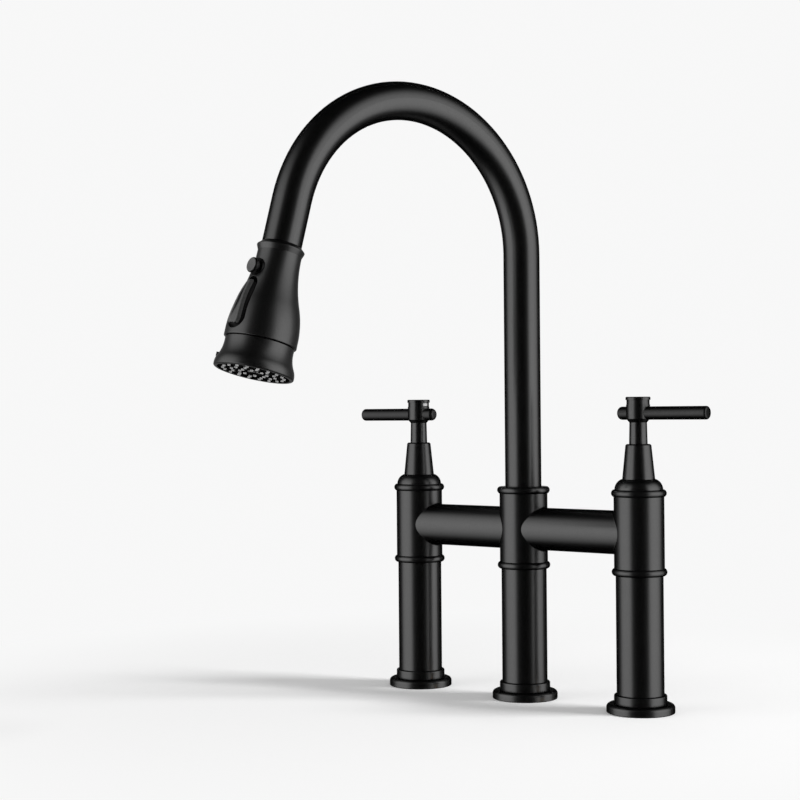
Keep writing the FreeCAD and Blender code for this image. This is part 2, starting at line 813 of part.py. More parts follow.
def valve_insides():
    """Seat seals, cartridge bodies and fixed discs of both valves."""
    outline = ring_outline(S.inlet_radius, S.chamber_radius - S.free_gap, SEAT_LEVEL, CARTRIDGE_FOOT)
    sides = (POSTS[0], POSTS[2])
    node(grouped("seat_seals", [turned(name + "_seat_seal", outline, x=x) for name, x in sides]))
    node(grouped("cartridge_bodies", [cartridge_body(name, x) for name, x in sides]))
    radius = S.cartridge_bore - S.fit_gap
    discs = [holed_disc(name + "_fixed_disc", x, radius, CARTRIDGE_FOOT) for name, x in sides]
    node(grouped("fixed_discs", discs))


# ---------------------------------------------------------------- handles

def handle_hub(name, x):
    """Hub and neck in one piece, cross-bored for the lever and bored for the stem."""
    body = new_body(name + "_handle_hub", x=x)
    sketch = new_sketch(body, "XZ_Plane")
    bore = S.stem_radius + S.fit_gap
    stem_top = HUB_FOOT - S.fit_gap
    outline = [
        corner(bore, NECK_FOOT),
        corner(S.neck_foot, NECK_FOOT),
        corner(S.neck_foot, BONNET_TOP),
        corner(S.neck_top, HUB_FOOT),
        corner(S.hub_radius, HUB_SHOULDER),
        corner(S.hub_radius, HUB_TOP),
        corner(0, HUB_TOP),
        corner(0, stem_top),
        corner(bore, stem_top),
    ]
    draw_outline(sketch, outline)
    feature(body, "Revolution", sketch)
    cross = new_sketch(body, "YZ_Plane")
    draw_circle(cross, 0, LEVER_LEVEL, S.lever_radius + S.fit_gap)
    feature(body, "Pocket", cross, Type=0, Length=2 * S.lid_radius, Midplane=True)
    grub_level = BONNET_TOP + S.grub_rise
    bored(body, "XZ_Plane", 0, grub_level, S.grub_radius + S.fit_gap, -S.hub_radius, S.hub_radius, True)
    node(body)


def index_cap(name, x):
    """Lid of the hub with the plain band below it."""
    band_top = HUB_TOP + S.band_height
    outline = [
        corner(0, HUB_TOP),
        corner(S.band_radius, HUB_TOP),
        corner(S.band_radius, band_top),
        corner(S.lid_radius, band_top),
        corner(S.lid_radius, band_top + S.lid_height, S.lid_round),
        corner(0, band_top + S.lid_height),
    ]
    node(turned(name + "_index_cap", outline, x=x))


def lever(name, x, side):
    """Round bar through the hub, long on the outer side, with a dimple in its outer end."""
    reach = S.lever_reach
    outline = [
        corner(0, -S.lever_stub),
        corner(S.lever_radius, -S.lever_stub, S.stub_round),
        corner(S.lever_radius, reach, S.lever_round),
        corner(S.lever_dimple, reach),
        corner(S.lever_dimple, reach - S.dimple_depth),
        corner(0, reach - S.dimple_depth),
    ]
    body = turned(name + "_lever", outline, x=x, z=LEVER_LEVEL)
    body.Placement.Rotation = Rotation(Vector(0, 1, 0), 90 * side)
    node(body)


def stem(name, x):
    """Cartridge stem: a driver plate on the moving disc and a shaft up into the handle."""
    top = HUB_FOOT - 2 * S.fit_gap
    outline = [
        corner(0, DRIVER_FOOT),
        corner(S.cartridge_bore - S.free_gap, DRIVER_FOOT),
        corner(S.cartridge_bore - S.free_gap, DRIVER_FOOT + S.driver_thickness),
        corner(S.stem_radius, DRIVER_FOOT + S.driver_thickness),
        corner(S.stem_radius, top),
        corner(0, top),
    ]
    node(turned(name + "_stem", outline, x=x))


def grub_screw(name, x):
    """Small screw at the back of the neck, which clamps the handle to its stem."""
    outline = [
        corner(0, S.stem_radius),
        corner(S.grub_radius, S.stem_radius),
        corner(S.grub_radius, S.neck_top - S.free_gap),
        corner(0, S.neck_top - S.free_gap),
    ]
    body = turned(name + "_grub_screw", outline, x=x, z=BONNET_TOP + S.grub_rise)
    body.Placement.Rotation = Rotation(Vector(1, 0, 0), -90)
    node(body)


def handle(name, x, side):
    """Everything that turns with one handle."""
    handle_hub(name, x)
    index_cap(name, x)
    lever(name, x, side)
    stem(name, x)
    grub_screw(name, x)
    node(holed_disc(name + "_moving_disc", x, S.cartridge_bore - S.free_gap, MOVING_DISC_FOOT))


# ---------------------------------------------------------------- spout and hose

SPOUT_FRAME = Placement(Vector(), Rotation(Vector(0, 0, 1), float(S.spout_yaw)))
THRUST_TOP = SOCKET_LEVEL + S.thrust_thickness
FOOT_TOP = THRUST_TOP + S.foot_height


def spout_path(sketch, start, end_run):
    """Open path in the spout's plane: up, round the arc and down a straight run."""
    level, radius = BEND_LEVEL.value, S.arc_radius.value
    sweep = math.radians(S.arc_sweep.value)
    bend_end = Vector(radius * math.cos(sweep) - radius, level + radius * math.sin(sweep), 0)
    heading = Vector(-math.sin(sweep), math.cos(sweep), 0)
    circle = Part.Circle(Vector(-radius, level, 0), Vector(0, 0, 1), radius)
    rise = sketch.addGeometry(Part.LineSegment(Vector(0, float(start), 0), Vector(0, level, 0)), False)
    bend = sketch.addGeometry(Part.ArcOfCircle(circle, 0, sweep), False)
    run = sketch.addGeometry(Part.LineSegment(bend_end, bend_end + heading * float(end_run)), False)
    place_point(sketch, rise, 1, size_of(0), start)
    place_point(sketch, rise, 2, size_of(0), BEND_LEVEL)
    sketch.addConstraint(Sketcher.Constraint("Tangent", rise, 2, bend, 1))
    sketch.addConstraint(Sketcher.Constraint("Tangent", bend, 2, run, 1))
    for kind, piece, amount in (("Radius", bend, S.arc_radius), ("Distance", run, end_run)):
        index = sketch.addConstraint(Sketcher.Constraint(kind, piece, amount.value))
        sketch.setExpression("Constraints[%d]" % index, amount.formula)
    index = sketch.addConstraint(Sketcher.Constraint("Angle", bend, sweep))
    sketch.setExpression("Constraints[%d]" % index, S.arc_sweep.formula + " * 1 deg")


def piped(label, start, end_run, radii):
    """A round tube or rod along the spout's path."""
    body = new_body(label, frame=SPOUT_FRAME)
    path = new_sketch(body, "YZ_Plane")
    spout_path(path, start, end_run)
    section = new_sketch(body, "XY_Plane", start)
    for radius in radii:
        draw_circle(section, 0, 0, radius)
    pipe = feature(body, "AdditivePipe", section)
    pipe.Spine = path
    path.Visibility = False
    return body


def mouth_frame(along, roll=0.0):
    """Frame on the spout's end run, at a distance past the bend, with -Z down the run."""
    sweep = math.radians(float(S.arc_sweep))
    radius = float(S.arc_radius)
    end = Vector(0, radius * math.cos(sweep) - radius, float(BEND_LEVEL) + radius * math.sin(sweep))
    heading = Vector(0, -math.sin(sweep), math.cos(sweep))
    lean = Rotation(Vector(1, 0, 0), float(S.arc_sweep) - 180)
    local = Placement(end + heading * float(along), lean * Rotation(Vector(0, 0, 1), roll))
    return SPOUT_FRAME * local


def spout():
    """Spout tube with its foot, the bushing and thrust washer it turns on, and the insert in its mouth."""
    tube = piped("spout_tube", THRUST_TOP, S.mouth_length, (S.spout_radius, S.spout_bore))
    foot = new_sketch(tube, "XZ_Plane")
    wall_middle = (S.spout_radius + S.spout_bore) / 2
    draw_outline(foot, ring_outline(wall_middle, S.foot_radius, THRUST_TOP, FOOT_TOP))
    feature(tube, "Revolution", foot)
    node(tube)
    bushing_foot = FOOT_TOP + S.free_gap
    bushing_top = RING_TOP - S.ring_lip - S.fit_gap
    bearing = S.spout_radius + S.run_gap
    bushing = ring_outline(bearing, S.socket_radius - S.fit_gap, bushing_foot, bushing_top)
    node(turned("spout_bushing", bushing))
    thrust = ring_outline(S.chamber_radius, S.socket_radius - S.free_gap, SOCKET_LEVEL, THRUST_TOP)
    node(turned("thrust_washer", thrust))
    outer = S.spout_bore - S.fit_gap
    insert = [
        corner(S.insert_bore, 0),
        corner(outer, 0),
        corner(outer, S.insert_length),
        corner(outer - S.insert_wall_lip, S.insert_length),
    ]
    node(turned("mouth_insert", insert, frame=mouth_frame(S.mouth_length)))


def hose():
    """Spray hose from the shank through the spout to its connector, and the guide it slides in."""
    rod_end = S.mouth_length + S.free_gap - S.connector_rise + S.hose_grip
    node(piped("hose", -S.shank_length, rod_end, (S.hose_radius, S.hose_bore)))
    foot = -S.shank_length
    guide = ring_outline(S.hose_radius + S.free_gap, S.centre_bore - S.fit_gap, foot, foot + S.guide_length)
    node(turned("hose_guide", guide))


# ---------------------------------------------------------------- spray head

HEAD_FRAME = mouth_frame(S.mouth_length + S.free_gap, float(S.head_roll))
KEEPER_TOP = S.collar_depth + S.free_gap
KEEPER_FOOT = KEEPER_TOP + S.keeper_thickness
DIVERTER_TOP = KEEPER_FOOT + S.free_gap


def hose_connector():
    """Swivel connector: it grips the hose above and carries the head on its keeper below."""
    outline = [
        corner(S.water_radius, -S.spindle_depth - DIVERTER_TOP),
        corner(S.spindle_radius, -S.spindle_depth - DIVERTER_TOP),
        corner(S.spindle_radius, -KEEPER_FOOT),
        corner(S.keeper_radius, -KEEPER_FOOT),
        corner(S.keeper_radius, -KEEPER_TOP),
        corner(S.spindle_radius, -KEEPER_TOP),
        corner(S.spindle_radius, S.free_gap),
        corner(S.connector_radius, S.connector_rise - S.hose_grip),
        corner(S.connector_radius, S.connector_rise),
        corner(S.hose_radius + S.run_gap, S.connector_rise),
        corner(S.hose_radius + S.run_gap, S.connector_rise - S.hose_grip),
        corner(S.water_radius, S.connector_rise - S.hose_grip),
    ]
    node(turned("hose_connector", outline, frame=HEAD_FRAME))


def head_collar():
    """Rolled ring at the top of the head."""
    outline = [
        corner(S.spindle_radius + S.free_gap, 0),
        corner(S.head_top_radius, 0),
        corner(S.bead_radius, -S.bead_depth, S.lid_round),
        corner(S.head_neck, -S.collar_depth),
        corner(S.spindle_radius + S.free_gap, -S.collar_depth),
    ]
    node(turned("head_collar", outline, frame=HEAD_FRAME))


def s_curve(top_radius, top, turn, foot_radius, foot):
    """Two tangent arcs between parallel ends: the radius where they meet and the radii of both arcs."""
    share = (turn - top) / (foot - top)
    middle = top_radius + (foot_radius - top_radius) * share
    upper_fall, upper_run = middle - top_radius, turn - top
    lower_fall, lower_run = foot_radius - middle, foot - turn
    upper = (upper_fall * upper_fall + upper_run * upper_run) / (2 * upper_fall)
    lower = (lower_fall * lower_fall + lower_run * lower_run) / (2 * lower_fall)
    return middle, upper, lower


def slot_frame():
    """Frame in the plane of the selector's slot: x across, y up the slot, z outwards."""
    top = Vector(0, -float(S.slot_floor_top), -float(S.slot_top))
    return Placement(top, Rotation(Vector(1, 0, 0), 90 - float(S.slot_lean)))


def slot_length():
    """Length of the slot in its own plane."""
    return (SLOT_FOOT - S.slot_top) / math.cos(math.radians(float(S.slot_lean)))


def slot_outline(inset):
    """Tapered slot with round ends, in the slot's plane: top at y = 0 and down to minus its length."""
    top = S.slot_top_width / 2
    foot = S.slot_foot_width / 2
    high, low = -top, foot - slot_length()
    tilt = (foot - top) / (high - low)
    across = 1 - tilt * tilt / 2
    rise_top, rise_foot = top - inset, foot - inset
    return [
        corner(rise_top * across, high + rise_top * tilt),
        curve(rise_top, 1),
        corner(-rise_top * across, high + rise_top * tilt),
        corner(-rise_foot * across, low + rise_foot * tilt),
        curve(rise_foot, 1),
        corner(rise_foot * across, low + rise_foot * tilt),
    ]


def head_shell():
    """Flared housing of the head, with the button's bore and the selector's slot."""
    belly = S.shell_depth - S.belly_margin
    middle, upper, lower = s_curve(S.head_neck, S.flare_start, S.flare_turn, S.belly_radius, belly)
    outline = [
        corner(S.shell_bore, -S.collar_depth),
        corner(S.head_neck, -S.collar_depth),
        corner(S.head_neck, -S.flare_start),
        curve(upper, 1),
        corner(middle, -S.flare_turn),
        curve(lower, -1),
        corner(S.belly_radius, -belly),
        corner(S.belly_radius, -S.shell_depth, S.shell_round),
        corner(S.shell_mouth, -S.shell_depth),
        corner(S.shell_mouth, -CONE_FOOT),
        corner(S.shell_bore, -S.shell_cone_top),
    ]
    body = turned("head_shell", outline, frame=HEAD_FRAME)
    outside = S.belly_radius
    level = -S.button_depth
    bored(body, "XZ_Plane", 0, level, S.bezel_radius + S.fit_gap, outside, outside - S.bezel_seat)
    bored(body, "XZ_Plane", 0, level, S.button_stem + S.free_gap, outside, outside)
    slot = new_sketch(body, "XY_Plane", lean=slot_frame())
    draw_outline(slot, slot_outline(size_of(0)))
    feature(body, "Pocket", slot, Type=0, Length=S.belly_radius, Reversed=True)
    pin = new_sketch(body, "YZ_Plane")
    y, z = pin_place()
    draw_circle(pin, y, z, S.pin_radius + S.fit_gap)
    feature(body, "Pocket", pin, Type=0, Length=2 * S.pin_half_length, Midplane=True)
    node(body)


def pin_place():
    """The selector's pivot in the head's own Y and Z."""
    lean = math.radians(float(S.slot_lean))
    y = -S.slot_floor_top - S.pin_drop * math.sin(lean) - S.pin_lift * math.cos(lean)
    z = -S.slot_top - S.pin_drop * math.cos(lean) + S.pin_lift * math.sin(lean)
    return y, z


def lower_skirt():
    """Flared lower ring of the head, with a spigot into the shell and a small grip lug."""
    turn = FLARE_DEPTH + S.rim_turn
    middle, upper, lower = s_curve(S.skirt_radius, FLARE_DEPTH, turn, S.rim_radius, RIM_DEPTH)
    spigot = S.shell_mouth - S.fit_gap
    outline = [
        corner(spigot - S.spigot_wall, -S.shell_depth + S.skirt_spigot),
        corner(spigot, -S.shell_depth + S.skirt_spigot),
        corner(spigot, -SKIRT_TOP),
        corner(S.skirt_radius, -SKIRT_TOP),
        corner(S.skirt_radius, -FLARE_DEPTH),
        curve(upper, 1),
        corner(middle, -turn),
        curve(lower, -1),
        corner(S.rim_radius, -RIM_DEPTH),
        corner(S.rim_radius, -HEAD_LENGTH, S.rim_round),
        corner(S.face_radius + S.fit_gap, -HEAD_LENGTH),
        corner(S.face_radius + S.fit_gap, -FACE_SEAT),
        corner(S.skirt_bore, -FACE_SEAT),
        corner(S.skirt_bore, -SKIRT_TOP - S.spigot_wall),
        corner(spigot - S.spigot_wall, -SKIRT_TOP - S.spigot_wall),
    ]
    body = turned("lower_skirt", outline, frame=HEAD_FRAME)
    lug_foot = float(S.lug_rise - HEAD_LENGTH - S.lug_height)
    place = Placement(Vector(0, 0, lug_foot), Rotation(Vector(0, 0, 1), float(S.lug_angle)))
    lug = new_sketch(body, "XY_Plane", lean=place)
    half = S.lug_width / 2
    draw_outline(lug, [
        corner(-half, -S.skirt_radius),
        corner(-half, -S.lug_reach, S.lid_round),
        corner(half, -S.lug_reach, S.lid_round),
        corner(half, -S.skirt_radius),
    ])
    feature(body, "Pad", lug, Type=0, Length=S.lug_height)
    node(body)


NOZZLE_CIRCLES = (
    (S.outer_nozzle_circle, S.outer_nozzles),
    (S.middle_nozzle_circle, S.middle_nozzles),
    (S.inner_nozzle_circle, S.inner_nozzles),
)


def around(body, made, count):
    """Repeats a feature evenly about the piece's Z axis."""
    polar = body.newObject("PartDesign::PolarPattern", body.Label + "_pattern")
    polar.Originals = [made]
    polar.Axis = (next(item for item in body.Origin.OriginFeatures if item.Role == "Z_Axis"), [""])
    polar.Angle = 360.0
    polar.setExpression("Occurrences", count.formula)
    body.Tip = polar


def spray_face():
    """Disc that closes the head, with a hole for each nozzle and the stream outlet."""
    thickness = S.face_thickness
    disc = ring_outline(S.stream_radius, S.face_radius, -FACE_FRONT, thickness - FACE_FRONT)
    body = turned("spray_face", disc, frame=HEAD_FRAME)
    for radius, count in NOZZLE_CIRCLES:
        hole = bored(body, "XY_Plane", 0, radius, S.nozzle_radius, -FACE_FRONT, thickness, True)
        around(body, hole, count)
    node(body)


def nozzle_mat():
    """Soft mat behind the face with a hollow tip through each of its holes."""
    front = FACE_FRONT - S.face_thickness - S.fit_gap
    tip_end = FACE_FRONT + S.nozzle_height
    mat = ring_outline(S.stream_radius, S.face_radius - S.free_gap, -front, -FACE_SEAT - S.fit_gap)
    body = turned("nozzle_mat", mat, frame=HEAD_FRAME)
    for radius, count in NOZZLE_CIRCLES:
        sketch = new_sketch(body, "XY_Plane", -front)
        draw_circle(sketch, 0, radius, S.nozzle_radius - S.fit_gap)
        length = tip_end - front
        tip = feature(body, "Pad", sketch, Type=0, Length=length, Reversed=True, TaperAngle=-S.nozzle_taper)
        around(body, tip, count)
    for radius, count in NOZZLE_CIRCLES:
        jet = bored(body, "XY_Plane", 0, radius, S.jet_radius, -tip_end, tip_end - FACE_SEAT, True)
        around(body, jet, count)
    node(body)


def diverter_body():
    """Inner water body of the head, with the connector's socket on top and an open bell below."""
    socket = S.spindle_radius + S.run_gap
    socket_foot = DIVERTER_TOP + S.spindle_depth + S.run_gap
    edge = S.shell_cone_top + (CONE_FOOT - S.shell_cone_top) * S.bell_share
    outline = [
        corner(socket, -DIVERTER_TOP),
        corner(S.diverter_radius, -DIVERTER_TOP),
        corner(S.diverter_radius, -S.shell_cone_top),
        corner(S.diverter_foot, -edge),
        corner(S.diverter_foot, S.diverter_margin - FACE_SEAT),
        corner(S.diverter_foot - S.spigot_wall, S.diverter_margin - FACE_SEAT),
        corner(S.diverter_foot - S.spigot_wall, -edge - S.bell_wall),
        corner(S.water_radius, S.bell_fall - edge),
        corner(S.water_radius, -socket_foot),
        corner(socket, -socket_foot),
    ]
    node(turned("diverter_body", outline, frame=HEAD_FRAME))


def across_head(along):
    """Frame on the head's front, with its Z axis pointing out through the button."""
    return HEAD_FRAME * Placement(Vector(0, 0, -float(along)), Rotation(Vector(1, 0, 0), 90))


def pause_button():
    """Mushroom push button and the bezel round its stem."""
    bezel = ring_outline(S.button_stem + S.run_gap, S.bezel_radius, S.bezel_seat, S.bezel_proud)
    node(turned("button_bezel", bezel, frame=across_head(S.button_depth)))
    underside = S.button_face - S.button_thickness
    inner = S.diverter_radius + S.button_travel + S.free_gap
    outline = [
        corner(0, inner),
        corner(S.button_stem, inner),
        corner(S.button_stem, underside),
        corner(S.button_cap, underside),
        corner(S.button_cap, S.button_face, S.button_round),
        corner(0, S.button_face),
    ]
    node(turned("pause_button", outline, frame=across_head(S.button_depth)))


def spray_paddle():
    """Teardrop rocker of the spray selector and the pin it rocks on."""
    frame = HEAD_FRAME * slot_frame()
    length = slot_length()
    heel, toe = -S.paddle_side_gap, S.paddle_side_gap - length
    top_end = toe + S.paddle_end_fall
    toe_lift = S.paddle_underside - (toe + S.pin_drop) * math.sin(math.radians(float(S.paddle_swing)))
    half = (heel - top_end) / 2
    fall = S.paddle_crown - (S.paddle_heel + S.paddle_toe) / 2
    arch = (half * half + fall * fall) / (2 * fall)
    body = new_body("spray_paddle", frame=frame)
    side = new_sketch(body, "YZ_Plane")
    draw_outline(side, [
        corner(heel, S.paddle_underside),
        corner(heel, S.paddle_heel),
        curve(arch, 1),
        corner(top_end, S.paddle_toe),
        curve(S.paddle_end_round, 1),
        corner(toe, toe_lift),
        corner(-S.pin_drop, S.paddle_underside),
    ])
    feature(body, "Pad", side, Type=0, Length=S.slot_foot_width, Midplane=True)
    trim = new_sketch(body, "XY_Plane")
    wide = S.slot_foot_width
    draw_outline(trim, ring_outline(-wide, wide, -length - wide, wide))
    draw_outline(trim, slot_outline(S.paddle_side_gap))
    feature(body, "Pocket", trim, Type=0, Length=2 * S.paddle_crown, Reversed=True)
    pivot = new_sketch(body, "YZ_Plane")
    draw_circle(pivot, -S.pin_drop, S.pin_lift, S.pin_radius + S.run_gap)
    feature(body, "Pocket", pivot, Type=0, Length=2 * S.slot_foot_width, Midplane=True)
    node(body)
    end = S.pin_half_length - S.fit_gap
    across = Placement(Vector(0, -float(S.pin_drop), float(S.pin_lift)), Rotation(Vector(0, 1, 0), 90))
    node(turned("paddle_pin", ring_outline(0, S.pin_radius, -end, end), frame=frame * across))


# ---------------------------------------------------------------- the whole faucet

for name, x in POSTS:
    base_flange(name, x)
for name, x in (POSTS[0], POSTS[2]):
    leg(name, x, S.side_bore, S.side_shank_radius)
    side_shank(name, x)
leg("centre", POSTS[1][1], S.centre_bore, S.centre_shank_radius)
centre_shank(POSTS[1][1])
base_gaskets()
lower_rings()
upper_rings()
centre_body()
for name, x, side in (("left", POSTS[0][1], -1), ("right", POSTS[2][1], 1)):
    valve_body(name, x, -side)
    dome_cap(name, x)
    bonnet(name, x)
    handle(name, x, side)
bridge_tube("left", POSTS[0][1])
bridge_tube("right", POSTS[1][1])
bridge_seals()
deck_fixing()
valve_insides()
spout()
hose()
hose_connector()
head_collar()
head_shell()
lower_skirt()
spray_face()
nozzle_mat()
diverter_body()
pause_button()
spray_paddle()

doc.recompute()
for item in doc.Objects:
    if "Invalid" in item.State or "Error" in item.State:
        raise RuntimeError("%s did not build: %s" % (item.Label, item.getStatusString()))
for item in doc.Objects:
    if item.TypeId in ("PartDesign::Pocket", "PartDesign::Groove") and item.BaseFeature is not None:
        if item.Shape.Volume >= item.BaseFeature.Shape.Volume - 1e-3:
            raise RuntimeError("%s cuts nothing" % item.Label)
os.makedirs("parts", exist_ok=True)
for piece in NODES:
    if piece.Shape.isNull() or not piece.Shape.isValid():
        raise RuntimeError("%s has no valid solid" % piece.Label)
for piece in NODES:
    piece.Shape.exportStep("parts/%s.step" % piece.Label)
print(len(NODES), "nodes written")
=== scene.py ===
"""Looks of the bridge kitchen faucet: finishes, threads, braid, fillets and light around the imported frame."""
import json
import math

import bmesh
import bpy
from mathutils import Matrix, Vector


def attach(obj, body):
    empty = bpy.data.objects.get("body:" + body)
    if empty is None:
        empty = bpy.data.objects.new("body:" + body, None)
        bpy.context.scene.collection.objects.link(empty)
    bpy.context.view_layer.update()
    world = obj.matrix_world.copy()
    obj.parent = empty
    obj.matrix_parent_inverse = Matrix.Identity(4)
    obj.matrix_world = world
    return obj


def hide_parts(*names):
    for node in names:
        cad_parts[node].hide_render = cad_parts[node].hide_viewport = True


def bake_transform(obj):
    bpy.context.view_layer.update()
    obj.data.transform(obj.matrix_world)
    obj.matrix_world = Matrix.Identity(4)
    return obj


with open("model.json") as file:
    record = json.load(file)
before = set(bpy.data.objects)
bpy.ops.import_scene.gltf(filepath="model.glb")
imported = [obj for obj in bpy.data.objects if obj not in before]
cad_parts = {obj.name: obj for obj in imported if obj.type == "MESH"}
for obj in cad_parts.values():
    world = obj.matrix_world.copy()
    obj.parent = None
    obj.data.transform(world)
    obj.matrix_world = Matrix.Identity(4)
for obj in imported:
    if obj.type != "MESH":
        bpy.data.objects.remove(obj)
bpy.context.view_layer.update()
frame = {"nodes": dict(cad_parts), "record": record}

MM = 0.001
SCENE = bpy.context.scene
NODES = frame["nodes"]

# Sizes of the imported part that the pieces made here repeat, in millimetres and degrees.
POST_SPACING = 101.6
BODY_RADIUS = 18.3
BRIDGE_RADIUS = 16.1
BRIDGE_LEVEL = 129.6
SIDE_THREAD, TAIL_THREAD, CENTRE_THREAD = 12.0, 10.48, 13.5     # radii at the crest
SIDE_BORE, CENTRE_BORE = 8.0, 10.5
SHANK_FOOT, SHANK_TOP = -64.99, 15.0        # the foot stays a hair inside the solid's
SIDE_THREAD_FOOT, TAIL_TOP, RELIEF_RADIUS = -44.0, -45.0, 9.88  # the relief parts the two threads
SPOUT_YAW, HEAD_ROLL = -14.28, 6.0
BEND_LEVEL, ARC_RADIUS, ARC_SWEEP = 338.8, 106.5, 165.0
HEAD_START = 33.3           # from the bend's end to the top face of the head
HOSE_RADIUS, HOSE_RUN = 7.0, 29.3
HEAD_PULL = 220.0
GRUB_RADIUS, GRUB_LEVEL, STEM_RADIUS, NECK_REACH = 1.5, 200.1, 4.4, 6.1
BAND_RADIUS, BAND_FOOT, BAND_HEIGHT = 8.35, 223.4, 3.3
FACE_FRONT, STREAM_RADIUS = 90.6, 5.5
BUTTON_DEPTH, BUTTON_FACE, BUTTON_END = 20.5, 21.7, 12.5
BUTTON_STEM, BUTTON_CAP, BUTTON_THICKNESS = 3.9, 5.4, 2.1
SLOT_TOP, SLOT_FLOOR, SLOT_LEAN, SLOT_LENGTH = 28.3, 12.9, 11.2, 41.39
SLOT_TOP_RADIUS, SLOT_FOOT_RADIUS = 6.0, 8.7
SELECTOR_GAP, SELECTOR_LIFT = 0.9, 0.5      # to the slot's end and off its floor
SELECTOR_FALL = 3.4         # length of the round lower end
SELECTOR_HEEL, SELECTOR_CROWN, SELECTOR_TOE = 6.0, 8.6, 7.2     # heights of the top over the slot's floor
SELECTOR_PIN, SELECTOR_ROCK = -17.6, 7.0    # the pin's place up the slot and the travel about it

# Sizes of the detail that is made here only.
METRIC_DEPTH, METRIC_PITCH, METRIC_TOP = 0.9, 1.5, 2.1
PIPE_DEPTH, PIPE_PITCH = 1.16, 1.814
FILLET_RADIUS, FILLET_PROUD = 1.5, 0.04
BRAID_STEP = 10.0           # hose per unit of its braid map
GRUB_CHAMFER = 0.2
HEX_SHARE, HEX_DEPTH, HEX_CONE = 0.62, 1.1, 0.25    # the socket's corners as a share of the screw's radius
SCREEN_PITCH, SCREEN_WIRE, SCREEN_DEPTH = 0.9, 0.22, 0.4
SCREEN_SET, SCREEN_GAP = 1.2, 0.05          # behind the face's front and inside the outlet
RIM_WIDTH, RIM_FRONT, RIM_BACK = 0.5, 0.35, 0.6     # the screen's rim, and its reach on each side
MARK_START, MARK_SPAN = -26.0, 30.0         # angles from the way to the middle post
MARK_MARGIN, MARK_PROUD = 0.6, 0.03

# Photographed view, in metres and degrees.
CAMERA_PLACE = (0.70809, -1.02813, 0.21918)
CAMERA_TURN, CAMERA_TILT, CAMERA_ROLL = 38.875, 90.428, -0.45
FOCAL_LENGTH, SENSOR_WIDTH = 73.06, 36.0    # millimetres

# Light levels, and the places and distances over which they change, in metres.
BACKGROUND = 0.935          # linear brightness of the pale ground and backdrop
BACK_WALL = (-0.628, 0.778, 0.0)            # the way to the pale wall behind the faucet
WALL_EDGE = (0.2, 0.75)     # cosines to that way between which the wall sets in
FLOOR_COLOUR, FLOOR_RADIUS = 0.9, 6.0
FLOOR_LIFT = 0.12           # what the floor gains to meet the background
SHADOW_MIDDLE = (-0.05, 0.0, 0.0)
SHADOW_EDGE = (0.18, 0.52)  # distances from that middle between which plain background takes over
LAMP_AIM = (0.0, 0.0, 0.1)
CARD_LEVEL = 0.25
CARD_REACH, CARD_CORE = 1.7, 0.65           # half height by distance, and full brightness by half width


# ---------------------------------------------------------------- node helpers

class Graph:
    """A small wrapper that adds and links shader nodes."""

    def __init__(self, tree):
        self.tree = tree
        tree.nodes.clear()

    def add(self, kind, **settings):
        """A node whose attributes and input sockets are set by name; a linked input is given as a socket."""
        made = self.tree.nodes.new("ShaderNode" + kind)
        inputs = settings.pop("inputs", {})
        for name, setting in settings.items():
            setattr(made, name, setting)
        for name, value in inputs.items():
            socket = made.inputs[name]
            if isinstance(value, bpy.types.NodeSocket):
                self.tree.links.new(value, socket)
            else:
                socket.default_value = value
        return made


def grey(level):
    """An opaque neutral colour."""
    return (level, level, level, 1.0)


def noise(graph, where, scale, detail, rough=0.5):
    """Noise by object coordinates; scale is in waves per metre."""
    inputs = {"Vector": where, "Scale": scale, "Detail": detail, "Roughness": rough}
    return graph.add("TexNoise", inputs=inputs).outputs["Fac"]


def between(graph, factor, low, high):
    """Maps a 0 to 1 factor onto a range."""
    return graph.add("MapRange", inputs={"Value": factor, "To Min": low, "To Max": high}).outputs[0]


def eased(graph, value, edge, first, last):
    """Goes smoothly from first to last while the value passes the two ends of an edge."""
    return graph.add("MapRange", interpolation_type="SMOOTHSTEP", inputs={
        "Value": value, "From Min": edge[0], "From Max": edge[1], "To Min": first, "To Max": last}).outputs[0]


def calculated(graph, operation, first, second):
    """One step of arithmetic between sockets or numbers."""
    return graph.add("Math", operation=operation, inputs={0: first, 1: second}).outputs[0]


def blended(graph, factor, dark, light):
    """A colour between two."""
    return graph.add("Mix", data_type="RGBA", inputs={0: factor, 6: dark, 7: light}).outputs[2]


def bumped(graph, pattern, strength, height, below=None):
    """A pattern raised by a height in millimetres, on top of another bump if one is given."""
    inputs = {"Height": pattern, "Strength": strength, "Distance": height * MM}
    if below is not None:
        inputs["Normal"] = below
    return graph.add("Bump", inputs=inputs).outputs[0]


def new_material(name):
    """An empty node material and its graph."""
    material = bpy.data.materials.new(name)
    material.use_nodes = True
    return material, Graph(material.node_tree)


def coated(name, colour, roughness, metallic=0.0, tint=None,
           grain=900.0, relief=0.02, spread=0.05, mottle=0.12):
    """A finish with two sizes of grain, an uneven sheen and a faint mottle in its colour."""
    material, graph = new_material(name)
    where = graph.add("TexCoord").outputs["Object"]
    broad = noise(graph, where, 60.0, 3.0)
    fine = noise(graph, where, grain, 3.0)
    specks = noise(graph, where, 5000.0, 2.0, 0.6)
    dark = tuple(c * (1 - mottle) for c in colour[:3]) + (1.0,)
    light = tuple(min(c * (1 + mottle), 1.0) for c in colour[:3]) + (1.0,)
    surface = graph.add("BsdfPrincipled", inputs={
        "Base Color": blended(graph, fine, dark, light),
        "Roughness": between(graph, broad, roughness - spread, roughness + spread),
        "Metallic": metallic,
        "Normal": bumped(graph, specks, 0.25, 0.004, below=bumped(graph, fine, 0.5, relief)),
    })
    if tint is not None:
        surface.inputs["Specular Tint"].default_value = tint
    graph.add("OutputMaterial", inputs={"Surface": surface.outputs[0]})
    return material


